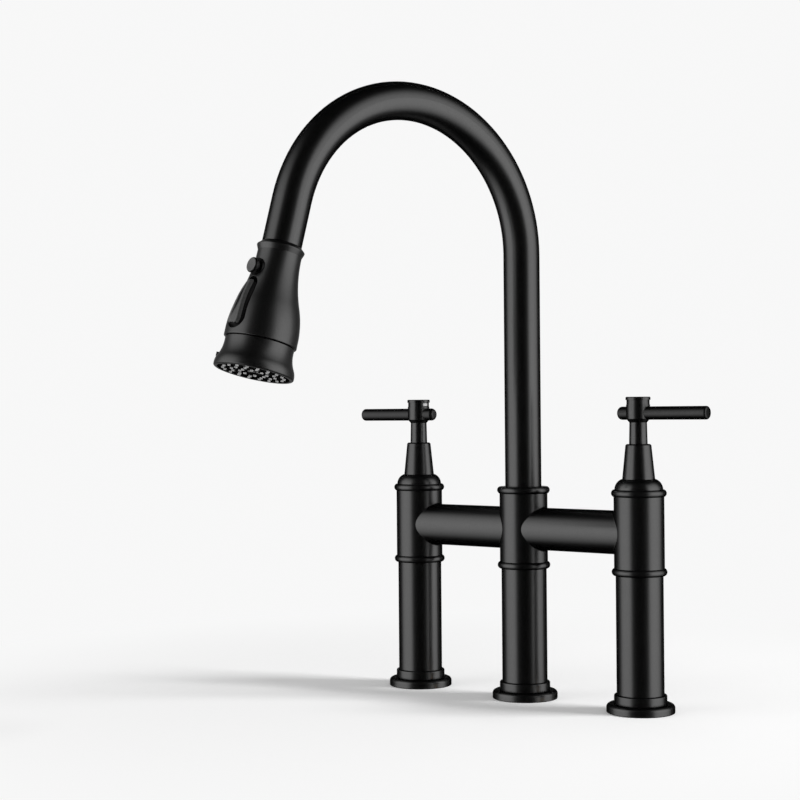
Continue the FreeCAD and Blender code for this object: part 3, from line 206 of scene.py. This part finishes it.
def worked(name, colour, roughness, stretch):
    """Bare metal with marks drawn out one way: stretch gives the waves per metre along X, Y and Z."""
    material, graph = new_material(name)
    where = graph.add("TexCoord").outputs["Object"]
    drawn = graph.add("Mapping", inputs={"Vector": where, "Scale": stretch}).outputs[0]
    marks = noise(graph, drawn, 1.0, 4.0, 0.6)
    stains = noise(graph, where, 70.0, 3.0)
    dark = tuple(c * 0.82 for c in colour[:3]) + (1.0,)
    surface = graph.add("BsdfPrincipled", inputs={
        "Base Color": blended(graph, stains, dark, colour),
        "Roughness": between(graph, marks, roughness - 0.08, roughness + 0.1),
        "Metallic": 1.0,
        "Normal": bumped(graph, marks, 0.5, 0.01),
    })
    graph.add("OutputMaterial", inputs={"Surface": surface.outputs[0]})
    return material


def woven(name, light, dark):
    """Braided sleeve: two sets of strands cross on the hose's own map, stored as the attribute braid."""
    strands_round, strands_along = 12.0, 2.7        # per turn and per unit of the map
    material, graph = new_material(name)
    skin = graph.add("Attribute", attribute_name="braid").outputs["Vector"]
    place = graph.add("SeparateXYZ", inputs={"Vector": skin})
    around = calculated(graph, "MULTIPLY", place.outputs["X"], strands_round)
    along = calculated(graph, "MULTIPLY", place.outputs["Y"], strands_along)
    strands = []
    for way in ("ADD", "SUBTRACT"):
        strands.append(calculated(graph, "PINGPONG", calculated(graph, way, around, along), 0.5))
    height = between(graph, calculated(graph, "MULTIPLY", *strands), 0.0, 4.0)
    fine = noise(graph, graph.add("TexCoord").outputs["Object"], 2500.0, 3.0)
    fuzz = {0: fine, 1: 0.3, 2: height}
    factor = graph.add("Math", operation="MULTIPLY_ADD", use_clamp=True, inputs=fuzz).outputs[0]
    surface = graph.add("BsdfPrincipled", inputs={
        "Base Color": blended(graph, factor, dark, light),
        "Roughness": between(graph, fine, 0.42, 0.6),
        "Normal": bumped(graph, factor, 0.8, 0.3),
    })
    graph.add("OutputMaterial", inputs={"Surface": surface.outputs[0]})
    return material


# ---------------------------------------------------------------- finishes

FINISHES = {
    "satin_black_metal": coated("satin_black", grey(0.05), 0.3, metallic=1.0, tint=grey(0.0), spread=0.03),
    "head_shell_black": coated("head_black", grey(0.05), 0.36, metallic=1.0, tint=grey(0.4), spread=0.03),
    "satin_black_plastic": coated("black_plastic", grey(0.02), 0.5),
    "pale_silicone": coated("pale_silicone", grey(0.62), 0.5),
    "acetal": coated("acetal", grey(0.6), 0.4),
    "brass": worked("brass", (0.75, 0.52, 0.22, 1.0), 0.3, (120.0, 120.0, 2600.0)),
    "steel": worked("steel", grey(0.6), 0.32, (300.0, 300.0, 2200.0)),
    "ceramic": coated("ceramic", grey(0.75), 0.25, grain=2200.0, relief=0.01),
    "black_rubber": coated("black_rubber", grey(0.02), 0.65, grain=1800.0, relief=0.05, mottle=0.3),
    "hose_braid": woven("hose_braid", grey(0.3), grey(0.03)),
}
ROUGH_BLACK = coated("rough_black", grey(0.035), 0.5, grain=700.0, relief=0.15, mottle=0.7)
# Painted shade: a darker copy of the black for the button's bezel and rim and the selector's walls and toe,
# which lie in shade.
PAINTED_SHADE_BLACK = coated("painted_shade_black", grey(0.012), 0.45, metallic=1.0, tint=grey(0.0))
# Painted shade: a darker black for the spray face, which faces down into shade.
FACE_PAINTED_SHADE = coated("face_painted_shade", grey(0.02), 0.4, metallic=1.0, tint=grey(0.0))
# Painted shade: the levers in a darker copy of the satin black, so that they read less lit.
LEVER_PAINTED_SHADE = coated("lever_painted_shade", grey(0.028), 0.34, metallic=1.0, tint=grey(0.0), spread=0.03)
# Nodes that take a darker copy with painted shade in place of their slot's finish.
PAINTED_SHADE_FINISH = {"button_bezel": PAINTED_SHADE_BLACK, "spray_face": FACE_PAINTED_SHADE, "left_lever": LEVER_PAINTED_SHADE,
              "right_lever": LEVER_PAINTED_SHADE}
for row in frame["record"]["subparts"]:
    shown = NODES[row["node"]]
    shown.data.materials.clear()
    shown.data.materials.append(PAINTED_SHADE_FINISH.get(row["node"], FINISHES[row["material_slot"]]))


# ---------------------------------------------------------------- pieces made here

def piece(name, points, faces, slot, body=None, smooth=True, finish=None):
    """A mesh object in metres, in its slot's finish or a given one, which may be a darker copy that paints
    shade; it rides on a body unless it is blended.
    """
    mesh = bpy.data.meshes.new(name)
    mesh.from_pydata([tuple(p) for p in points], [], faces)
    mesh.validate()
    if smooth:
        mesh.shade_smooth()
    mesh.materials.append(finish or FINISHES[slot])
    made = bpy.data.objects.new(name, mesh)
    SCENE.collection.objects.link(made)
    if body is not None:
        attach(made, body)
    return made


def grid_faces(rows, around, closed=True):
    """Quads between rings of points; every ring has the same number of points."""
    faces = []
    steps = around if closed else around - 1
    for row in range(rows - 1):
        for step in range(steps):
            after = (step + 1) % around
            low, high = row * around, (row + 1) * around
            faces.append((low + step, low + after, high + after, high + step))
    return faces


def turned_part(profile, around=64):
    """Points and faces of a profile of radius and height pairs, turned about Z."""
    points = []
    for radius, height in profile:
        for step in range(around):
            turn = 2 * math.pi * step / around
            points.append((radius * math.cos(turn), radius * math.sin(turn), height))
    return points, grid_faces(len(profile), around)


def screw_thread(crest, depth, pitch, foot, top):
    """The outside of a screw between two heights: one sheet wound along the helix, with chamfered ends."""
    profile = (0.0, 0.0, 0.5, 1.0, 1.0, 0.5)        # share of the depth along one pitch
    count, steps = len(profile), 48
    turns = int(math.ceil((top - foot) / pitch)) + 1
    points = []
    for number in range(turns * steps + 1):
        turn = 2 * math.pi * number / steps
        for index, share in enumerate(profile):
            height = foot + pitch * (number / steps - 1 + index / count)
            height = min(max(height, foot), top)
            edge = min(height - foot, top - height)
            radius = crest - depth + min(depth * share, edge)
            points.append((radius * math.cos(turn), radius * math.sin(turn), height))
    faces = []
    for number in range(turns * steps):
        for index in range(count):
            low = number * count + index
            if index + 1 < count:
                faces.append((low, low + count, low + count + 1, low + 1))
            elif number + steps + 1 <= turns * steps:
                above = (number + steps) * count
                faces.append((low, low + count, above + count, above))
    return points, faces


def joined(parts):
    """One list of points and faces from several."""
    points, faces = [], []
    for some_points, some_faces in parts:
        shift = len(points)
        points += some_points
        faces += [tuple(index + shift for index in face) for face in some_faces]
    return points, faces


def moved(points, shift):
    """Points given in millimetres, moved and scaled to metres."""
    return [tuple((p[axis] + shift[axis]) * MM for axis in range(3)) for p in points]


def upper_shank(bore, crest, foot):
    """Bore, plain top and metric thread of a shank."""
    wall = turned_part([(bore, SHANK_FOOT), (bore, SHANK_TOP), (crest, SHANK_TOP),
                        (crest, METRIC_TOP + METRIC_DEPTH), (crest - METRIC_DEPTH, METRIC_TOP)])
    return [wall, screw_thread(crest, METRIC_DEPTH, METRIC_PITCH, foot, METRIC_TOP)]


def shanks():
    """The three shanks with their screw threads."""
    side_root, tail_root = SIDE_THREAD - METRIC_DEPTH, TAIL_THREAD - PIPE_DEPTH
    side = upper_shank(SIDE_BORE, SIDE_THREAD, SIDE_THREAD_FOOT) + [
        turned_part([(side_root, SIDE_THREAD_FOOT), (RELIEF_RADIUS, SIDE_THREAD_FOOT),
                     (RELIEF_RADIUS, TAIL_TOP), (tail_root, TAIL_TOP)]),
        screw_thread(TAIL_THREAD, PIPE_DEPTH, PIPE_PITCH, SHANK_FOOT, TAIL_TOP),
        turned_part([(tail_root, SHANK_FOOT), (SIDE_BORE, SHANK_FOOT)]),
    ]
    centre = upper_shank(CENTRE_BORE, CENTRE_THREAD, SHANK_FOOT) + [
        turned_part([(CENTRE_THREAD - METRIC_DEPTH, SHANK_FOOT), (CENTRE_BORE, SHANK_FOOT)]),
    ]
    for name, x, parts in (("left_shank", -POST_SPACING, side), ("right_shank", POST_SPACING, side),
                           ("centre_shank", 0.0, centre)):
        points, faces = joined(parts)
        made = piece(name + "_threaded", moved(points, (x, 0, 0)), faces, "brass", "root", smooth=False)
        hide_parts(name)


def bridge_fillets():
    """Soft inside corners where the bridge tubes meet the posts."""
    tube, post, soft = BRIDGE_RADIUS, BODY_RADIUS, FILLET_RADIUS
    around, steps = 96, 7
    places = (("left_outer", -POST_SPACING, 1), ("left_inner", 0.0, -1), ("right_inner", 0.0, 1),
              ("right_outer", POST_SPACING, -1))
    for name, x, side in places:
        points, faces = [], []
        for number in range(around):
            turn = 2 * math.pi * number / around
            across, up = (tube + soft) * math.cos(turn), (tube + soft) * math.sin(turn)
            out = math.sqrt((post + soft) ** 2 - across * across)
            centre = Vector((out, across, up))
            on_tube = Vector((out, across * tube / (tube + soft), up * tube / (tube + soft)))
            on_post = Vector((out * post / (post + soft), across * post / (post + soft), up))
            first, last = (on_tube - centre).normalized(), (on_post - centre).normalized()
            for step in range(steps):
                way = first.slerp(last, step / (steps - 1))
                spot = centre + way * (soft + FILLET_PROUD)
                points.append((spot.x * side, spot.y, spot.z))
            here, there = number * steps, (number + 1) % around * steps
            for step in range(steps - 1):
                quad = (here + step, there + step, there + step + 1, here + step + 1)
                faces.append(quad if side > 0 else quad[::-1])
        points = moved(points, (x, 0, BRIDGE_LEVEL))
        piece(name + "_bridge_fillet", points, faces, "satin_black_metal", "root")


def spout_place(y, z):
    """A point of the spout's own plane in the faucet's frame, in metres."""
    return Matrix.Rotation(math.radians(SPOUT_YAW), 3, "Z") @ Vector((0.0, y, z)) * MM


def bend_point(turn):
    """A point of the bend's centre line in the spout's own plane, in millimetres."""
    return ARC_RADIUS * (math.cos(turn) - 1), BEND_LEVEL + ARC_RADIUS * math.sin(turn)


def hose_tube(name, line, stretch, body=None):
    """A braided tube along points of the spout's plane; stretch is the braid's length by the line's."""
    places = [spout_place(y, z) for y, z in line]
    side = Matrix.Rotation(math.radians(SPOUT_YAW), 3, "Z") @ Vector((1.0, 0.0, 0.0))
    sides = 28
    points, skins, length = [], [], 0.0
    for number, place in enumerate(places):
        before, after = places[max(number - 1, 0)], places[min(number + 1, len(places) - 1)]
        other = (after - before).normalized().cross(side)
        if number:
            length += (place - places[number - 1]).length * stretch
        for index in range(sides + 1):
            turn = 2 * math.pi * index / sides
            points.append(place + (side * math.cos(turn) + other * math.sin(turn)) * HOSE_RADIUS * MM)
            skins.append((index / sides, length / (BRAID_STEP * MM), 0.0))
    made = piece(name, points, grid_faces(len(places), sides + 1, closed=False), "hose_braid", body)
    braid = made.data.attributes.new("braid", "FLOAT_VECTOR", "POINT")
    for vertex, skin in enumerate(skins):
        braid.data[vertex].vector = skin
    return made


def braided_hose():
    """The spray hose. Its last run lies drawn close in the mouth, its braid map packed with the length a full
    pull of the head would draw out.
    """
    rise_steps, bend_steps, run_steps = 40, 72, 220
    sweep = math.radians(ARC_SWEEP)
    rise = [(0.0, SHANK_FOOT + (BEND_LEVEL - SHANK_FOOT) * step / rise_steps) for step in range(rise_steps)]
    bend = [bend_point(sweep * step / bend_steps) for step in range(bend_steps + 1)]
    run = []
    for step in range(run_steps + 1):
        along = HOSE_RUN * step / run_steps
        run.append((bend[-1][0] - math.sin(sweep) * along, bend[-1][1] + math.cos(sweep) * along))
    upper = hose_tube("braided_hose", rise + bend, 1.0, "spout")
    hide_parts("hose")
    lower = hose_tube("braided_hose_run", run, (HOSE_RUN + HEAD_PULL) / HOSE_RUN)
    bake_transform(lower)


def grub_screws():
    """Socket screws at the back of the handle necks."""
    socket, seat, tip = GRUB_RADIUS * HEX_SHARE, NECK_REACH - HEX_DEPTH, 0.001
    rings = ((GRUB_RADIUS, STEM_RADIUS, False), (GRUB_RADIUS, NECK_REACH - GRUB_CHAMFER, False),
             (GRUB_RADIUS - GRUB_CHAMFER, NECK_REACH, False), (socket, NECK_REACH, True),
             (socket, seat, True), (tip, seat - HEX_CONE, False))
    around = 24
    points = []
    for radius, out, hexed in rings:
        for index in range(around):
            turn = 2 * math.pi * index / around
            reach = radius
            if hexed:
                sector = (turn % (math.pi / 3)) - math.pi / 6
                reach = radius * math.cos(math.pi / 6) / math.cos(sector)
            points.append((reach * math.cos(turn), out, reach * math.sin(turn)))
    faces = [face[::-1] for face in grid_faces(len(rings), around)]
    for name, x in (("left", -POST_SPACING), ("right", POST_SPACING)):
        made = piece(name + "_socket_screw", moved(points, (x, 0, GRUB_LEVEL)), faces, "steel",
                     name + "_handle", smooth=False)
        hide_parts(name + "_grub_screw")


def head_place():
    """The head's own frame: its top face at the origin and its axis along Z, in millimetres."""
    sweep = math.radians(ARC_SWEEP)
    yaw = Matrix.Rotation(math.radians(SPOUT_YAW), 4, "Z")
    end = Vector((0.0, *bend_point(sweep)))
    down = Vector((0.0, -math.sin(sweep), math.cos(sweep)))
    lean = Matrix.Rotation(sweep - math.pi, 4, "X")
    roll = Matrix.Rotation(math.radians(HEAD_ROLL), 4, "Z")
    return yaw @ Matrix.Translation(end + down * HEAD_START) @ lean @ roll


def placed(points, place):
    """Points in millimetres of a place's own frame, in metres of the faucet."""
    return [tuple((place @ Vector(point)) * MM) for point in points]


def arc(radius, level, start, sweep, steps):
    """Points of an arc about (0, level)."""
    turns = [start + sweep * step / steps for step in range(steps + 1)]
    return [(radius * math.cos(turn), level + radius * math.sin(turn)) for turn in turns]


def straight(start, end, steps):
    """The points between two ends, without the ends."""
    return [tuple(start[axis] + (end[axis] - start[axis]) * step / steps for axis in (0, 1))
            for step in range(1, steps)]


def teardrop(inset):
    """Points round the selector's outline, set in from the slot's edge: x across and y up the slot."""
    high, low = -SLOT_TOP_RADIUS, SLOT_FOOT_RADIUS - SLOT_LENGTH
    tilt = math.asin((SLOT_FOOT_RADIUS - SLOT_TOP_RADIUS) / (high - low))
    top = arc(SLOT_TOP_RADIUS - inset, high, tilt, math.pi - 2 * tilt, 24)
    foot = arc(SLOT_FOOT_RADIUS - inset, low, math.pi - tilt, math.pi + 2 * tilt, 36)
    return top + straight(top[-1], foot[0], 12) + foot + straight(foot[-1], top[0], 12)


def selector():
    """The spray selector's rocker: a rough crowned top with a bevel round it, on a body in darker black that
    paints its shade.
    """
    heel, toe = -SELECTOR_GAP, SELECTOR_GAP - SLOT_LENGTH
    top_end = toe + SELECTOR_FALL
    middle = (heel + top_end) / 2

    def underside(y):
        return SELECTOR_LIFT + max(SELECTOR_PIN - y, 0.0) * math.sin(math.radians(SELECTOR_ROCK))

    def crown(y):
        if y < top_end:
            fall = min((top_end - y) / SELECTOR_FALL, 1.0)
            return underside(toe) + (SELECTOR_TOE - underside(toe)) * math.sqrt(1 - fall * fall)
        off = (y - middle) / (heel - middle)
        end = SELECTOR_HEEL if off > 0 else SELECTOR_TOE
        return SELECTOR_CROWN - (SELECTOR_CROWN - end) * off * off

    # How far each ring is set in from the slot's edge and lies below the crown; the first is the underside.
    layers = ((1.0, None), (1.1, 4.0), (2.5, 2.0), (2.8, 1.55), (3.7, 0.4), (3.95, 0.18), (4.8, 0.0),
              (5.9, 0.0))
    walls_end, crown_start = 3, 6       # layers
    toe_end, least = top_end + 0.6, 0.05        # where the toe painted dark as shade ends, and the least thickness
    points = []
    for inset, drop in layers:
        for x, y in teardrop(inset):
            height = underside(y) if drop is None else max(crown(y) - drop, underside(y) + least)
            points.append((x, y, height))
    around = len(points) // len(layers)
    faces = grid_faces(len(layers), around)
    faces.append(tuple(range(around))[::-1])
    faces.append(tuple(range((len(layers) - 1) * around, len(layers) * around)))
    walls, tops = [], []
    for face in faces:
        y = sum(points[index][1] for index in face) / len(face)
        # Painted shade: the walls and the round toe take the darkest black.
        shaded = max(face) < walls_end * around or (y < toe_end and min(face) < crown_start * around)
        (walls if shaded else tops).append(face)
    place = head_place() @ Matrix.Translation((0, -SLOT_FLOOR, -SLOT_TOP))
    place = place @ Matrix.Rotation(math.radians(90 - SLOT_LEAN), 4, "X")
    points = placed(points, place)
    body = piece("selector_body", points, walls, "satin_black_plastic", "paddle", finish=PAINTED_SHADE_BLACK)
    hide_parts("spray_paddle")
    piece("selector_top", points, tops, "satin_black_plastic", "paddle", finish=ROUGH_BLACK)


def push_button():
    """Mushroom button: a mottled face with a rounded rim in darker black as painted shade, in the head's front.
    """
    across = head_place() @ Matrix.Translation((0, 0, -BUTTON_DEPTH))
    across = across @ Matrix.Rotation(math.radians(90), 4, "X")
    under, face, cap, tip = BUTTON_FACE - BUTTON_THICKNESS, BUTTON_FACE, BUTTON_CAP, 0.01
    edge = (cap, under + 0.6)
    lip = (cap - 0.7, face - 0.14)
    parts = (
        ("button_stem", FINISHES["satin_black_plastic"], (
            (tip, BUTTON_END), (BUTTON_STEM, BUTTON_END), (BUTTON_STEM, under), (cap - 0.5, under),
            (cap - 0.1, under + 0.25), edge)),
        # painted shade: the rim in the darkest black
        ("button_rim", PAINTED_SHADE_BLACK, (edge, (cap - 0.02, under + 1.2), (cap - 0.25, under + 1.65), lip)),
        ("button_face", ROUGH_BLACK, (
            lip, (cap - 1.2, face), (cap - 1.7, face - 0.1), (cap - 2.2, face - 0.22), (1.6, face - 0.26),
            (tip, face - 0.27))),
    )
    for name, finish, profile in parts:
        points, faces = turned_part(profile, 56)
        made = piece(name, placed(points, across), faces, "satin_black_plastic", "button", finish=finish)
        if name == "button_stem":
            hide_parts("pause_button")


def stream_screen():
    """Fine mesh in the stream outlet at the middle of the spray face."""
    radius, level, half_wire = STREAM_RADIUS - SCREEN_GAP, SCREEN_SET - FACE_FRONT, SCREEN_WIRE / 2
    inner, foot, top = radius - RIM_WIDTH, level - RIM_FRONT, level + RIM_BACK
    parts = [turned_part([(radius, foot), (radius, top), (inner, top), (inner, foot), (radius, foot)], 48)]
    box = [(0, 1, 2, 3), (7, 6, 5, 4), (0, 4, 5, 1), (1, 5, 6, 2), (2, 6, 7, 3), (3, 7, 4, 0)]
    count = int(radius / SCREEN_PITCH)
    for number in range(-count, count + 1):
        off = number * SCREEN_PITCH
        reach = math.sqrt(radius * radius - off * off)
        left, right = off - half_wire, off + half_wire
        for turned in (False, True):
            corners = [(left, -reach), (right, -reach), (right, reach), (left, reach)]
            if turned:
                corners = [(y, x) for x, y in corners]
            parts.append(([(x, y, z) for z in (level, level + SCREEN_DEPTH) for x, y in corners], box))
    points, faces = joined(parts)
    piece("stream_screen", placed(points, head_place()), faces, "steel", "spray_head", smooth=False)


def index_marks():
    """A plain white bar on the band of each hub, on the side of the middle post."""
    steps, reach = 8, BAND_RADIUS + MARK_PROUD
    faces = grid_faces(2, steps + 1, closed=False)
    for name, x, facing in (("left", -POST_SPACING, 0.0), ("right", POST_SPACING, math.pi)):
        points = []
        for height in (BAND_FOOT + MARK_MARGIN, BAND_FOOT + BAND_HEIGHT - MARK_MARGIN):
            for step in range(steps + 1):
                turn = facing + math.radians(MARK_START + MARK_SPAN * step / steps)
                points.append((reach * math.cos(turn), reach * math.sin(turn), height))
        piece(name + "_index_mark", moved(points, (x, 0, 0)), faces, "acetal", name + "_handle")


shanks()
bridge_fillets()
braided_hose()
grub_screws()
selector()
push_button()
stream_screen()
index_marks()


# ---------------------------------------------------------------- ground, light and camera

def seen_rays(graph):
    """1 for the rays that see the background: straight, in a mirror or through glass."""
    path = graph.add("LightPath")
    pair = calculated(graph, "MAXIMUM", path.outputs["Is Camera Ray"], path.outputs["Is Glossy Ray"])
    return calculated(graph, "MAXIMUM", pair, path.outputs["Is Transmission Ray"])


def ground():
    """The pale floor: it holds the shadow near the faucet and is plain background further out."""
    mesh = bpy.data.meshes.new("ground")
    shape = bmesh.new()
    bmesh.ops.create_circle(shape, cap_ends=True, segments=96, radius=FLOOR_RADIUS)
    shape.to_mesh(mesh)
    shape.free()
    floor = bpy.data.objects.new("ground", mesh)
    SCENE.collection.objects.link(floor)
    material, graph = new_material("pale_ground")
    seen = seen_rays(graph)
    lift = calculated(graph, "MULTIPLY", seen, FLOOR_LIFT)
    lit = graph.add("BsdfDiffuse", inputs={"Color": grey(FLOOR_COLOUR)})
    raised = graph.add("Emission", inputs={"Color": grey(1.0), "Strength": lift})
    near = graph.add("AddShader", inputs={0: lit.outputs[0], 1: raised.outputs[0]})
    plain = graph.add("Emission", inputs={"Color": grey(BACKGROUND)})
    where = graph.add("TexCoord").outputs["Object"]
    off = graph.add("VectorMath", operation="SUBTRACT", inputs={0: where, 1: SHADOW_MIDDLE})
    far = graph.add("VectorMath", operation="LENGTH", inputs={0: off.outputs[0]}).outputs["Value"]
    share = calculated(graph, "MULTIPLY", eased(graph, far, SHADOW_EDGE, 0.0, 1.0), seen)
    top = graph.add("MixShader", inputs={0: share, 1: near.outputs[0], 2: plain.outputs[0]})
    clear = graph.add("BsdfTransparent")
    back = graph.add("NewGeometry").outputs["Backfacing"]
    both = graph.add("MixShader", inputs={0: back, 1: top.outputs[0], 2: clear.outputs[0]})
    graph.add("OutputMaterial", inputs={"Surface": both.outputs[0]})
    mesh.materials.append(material)
    floor.visible_glossy = False


def surroundings(level, dusk):
    """World: plain background where it is seen, dusk on the near side of reflections, level as light."""
    world = bpy.data.worlds.new("studio")
    world.use_nodes = True
    SCENE.world = world
    graph = Graph(world.node_tree)
    where = graph.add("TexCoord").outputs["Generated"]
    behind = graph.add("VectorMath", operation="DOT_PRODUCT", inputs={0: where, 1: BACK_WALL})
    wall = eased(graph, behind.outputs["Value"], WALL_EDGE, dusk, BACKGROUND)
    shades = [graph.add("Background", inputs={"Color": grey(1.0), "Strength": strength}).outputs[0]
              for strength in (level, wall, BACKGROUND)]
    path = graph.add("LightPath")
    first = graph.add("MixShader", inputs={0: path.outputs["Is Glossy Ray"], 1: shades[0], 2: shades[1]})
    direct = calculated(graph, "MAXIMUM", path.outputs["Is Camera Ray"], path.outputs["Is Transmission Ray"])
    mix = graph.add("MixShader", inputs={0: direct, 1: first.outputs[0], 2: shades[2]})
    graph.add("OutputWorld", inputs={"Surface": mix.outputs[0]})


def looking(spot, target):
    """A placement at one point that looks at another."""
    aim = Vector(target) - spot
    return Matrix.Translation(spot) @ aim.to_track_quat("-Z", "Y").to_matrix().to_4x4()


def around_faucet(heading, distance, level):
    """A point at a compass angle from +X round the faucet's axis."""
    turn = math.radians(heading)
    return Vector((math.cos(turn) * distance, math.sin(turn) * distance, level))


def lamp(name, heading, distance, level, width, height, radiance):
    """A rectangular lamp that lights surfaces; the cards stand for it in reflections."""
    light = bpy.data.lights.new(name, "AREA")
    light.shape = "RECTANGLE"
    light.size = width
    light.size_y = height
    light.energy = radiance * math.pi * width * height
    made = bpy.data.objects.new(name, light)
    made.matrix_world = looking(around_faucet(heading, distance, level), LAMP_AIM)
    made.visible_camera = False
    made.visible_glossy = False
    SCENE.collection.objects.link(made)


def card(name, heading, distance, width, radiance):
    """A tall soft-edged light card that only shows in reflections."""
    half, tall = width / 2, CARD_REACH * distance
    corners = [(-half, -tall, 0), (half, -tall, 0), (half, tall, 0), (-half, tall, 0)]
    mesh = bpy.data.meshes.new(name)
    mesh.from_pydata(corners, [], [(0, 1, 2, 3)])
    made = bpy.data.objects.new(name, mesh)
    SCENE.collection.objects.link(made)
    made.matrix_world = looking(around_faucet(heading, distance, CARD_LEVEL), (0.0, 0.0, CARD_LEVEL))
    material, graph = new_material(name)
    spot = graph.add("SeparateXYZ", inputs={"Vector": graph.add("TexCoord").outputs["Object"]})
    strength = radiance
    for side, edge in (("X", (CARD_CORE * half, half)), ("Y", (0.0, tall))):
        off = graph.add("Math", operation="ABSOLUTE", inputs={0: spot.outputs[side]}).outputs[0]
        strength = calculated(graph, "MULTIPLY", eased(graph, off, edge, 1.0, 0.0), strength)
    glow = graph.add("Emission", inputs={"Color": grey(1.0), "Strength": strength})
    graph.add("OutputMaterial", inputs={"Surface": glow.outputs[0]})
    material.cycles.emission_sampling = "NONE"
    mesh.materials.append(material)
    made.visible_camera = False
    made.visible_diffuse = False
    made.visible_transmission = False
    made.visible_shadow = False


def camera():
    """The photographed view, from the front right and level with the handles."""
    lens = bpy.data.cameras.new("view")
    lens.sensor_width = SENSOR_WIDTH
    lens.lens = FOCAL_LENGTH
    lens.clip_start = 0.01
    made = bpy.data.objects.new("view", lens)
    turn = Matrix.Rotation(math.radians(CAMERA_TURN), 4, "Z")
    tilt = Matrix.Rotation(math.radians(CAMERA_TILT), 4, "X")
    roll = Matrix.Rotation(math.radians(CAMERA_ROLL), 4, "Z")
    made.matrix_world = Matrix.Translation(CAMERA_PLACE) @ turn @ tilt @ roll
    SCENE.collection.objects.link(made)
    SCENE.camera = made


camera()
ground()
surroundings(level=0.4, dusk=0.02)
lamp("key", heading=26.0, distance=1.6, level=2.1, width=0.6, height=0.7, radiance=31.0)
lamp("fill", heading=-125.0, distance=1.8, level=1.2, width=1.2, height=1.2, radiance=1.2)
card("right_card", heading=20.0, distance=1.6, width=2.5, radiance=2.9)
card("left_card", heading=-129.0, distance=1.6, width=2.4, radiance=2.65)
SCENE.view_settings.view_transform = "Standard"
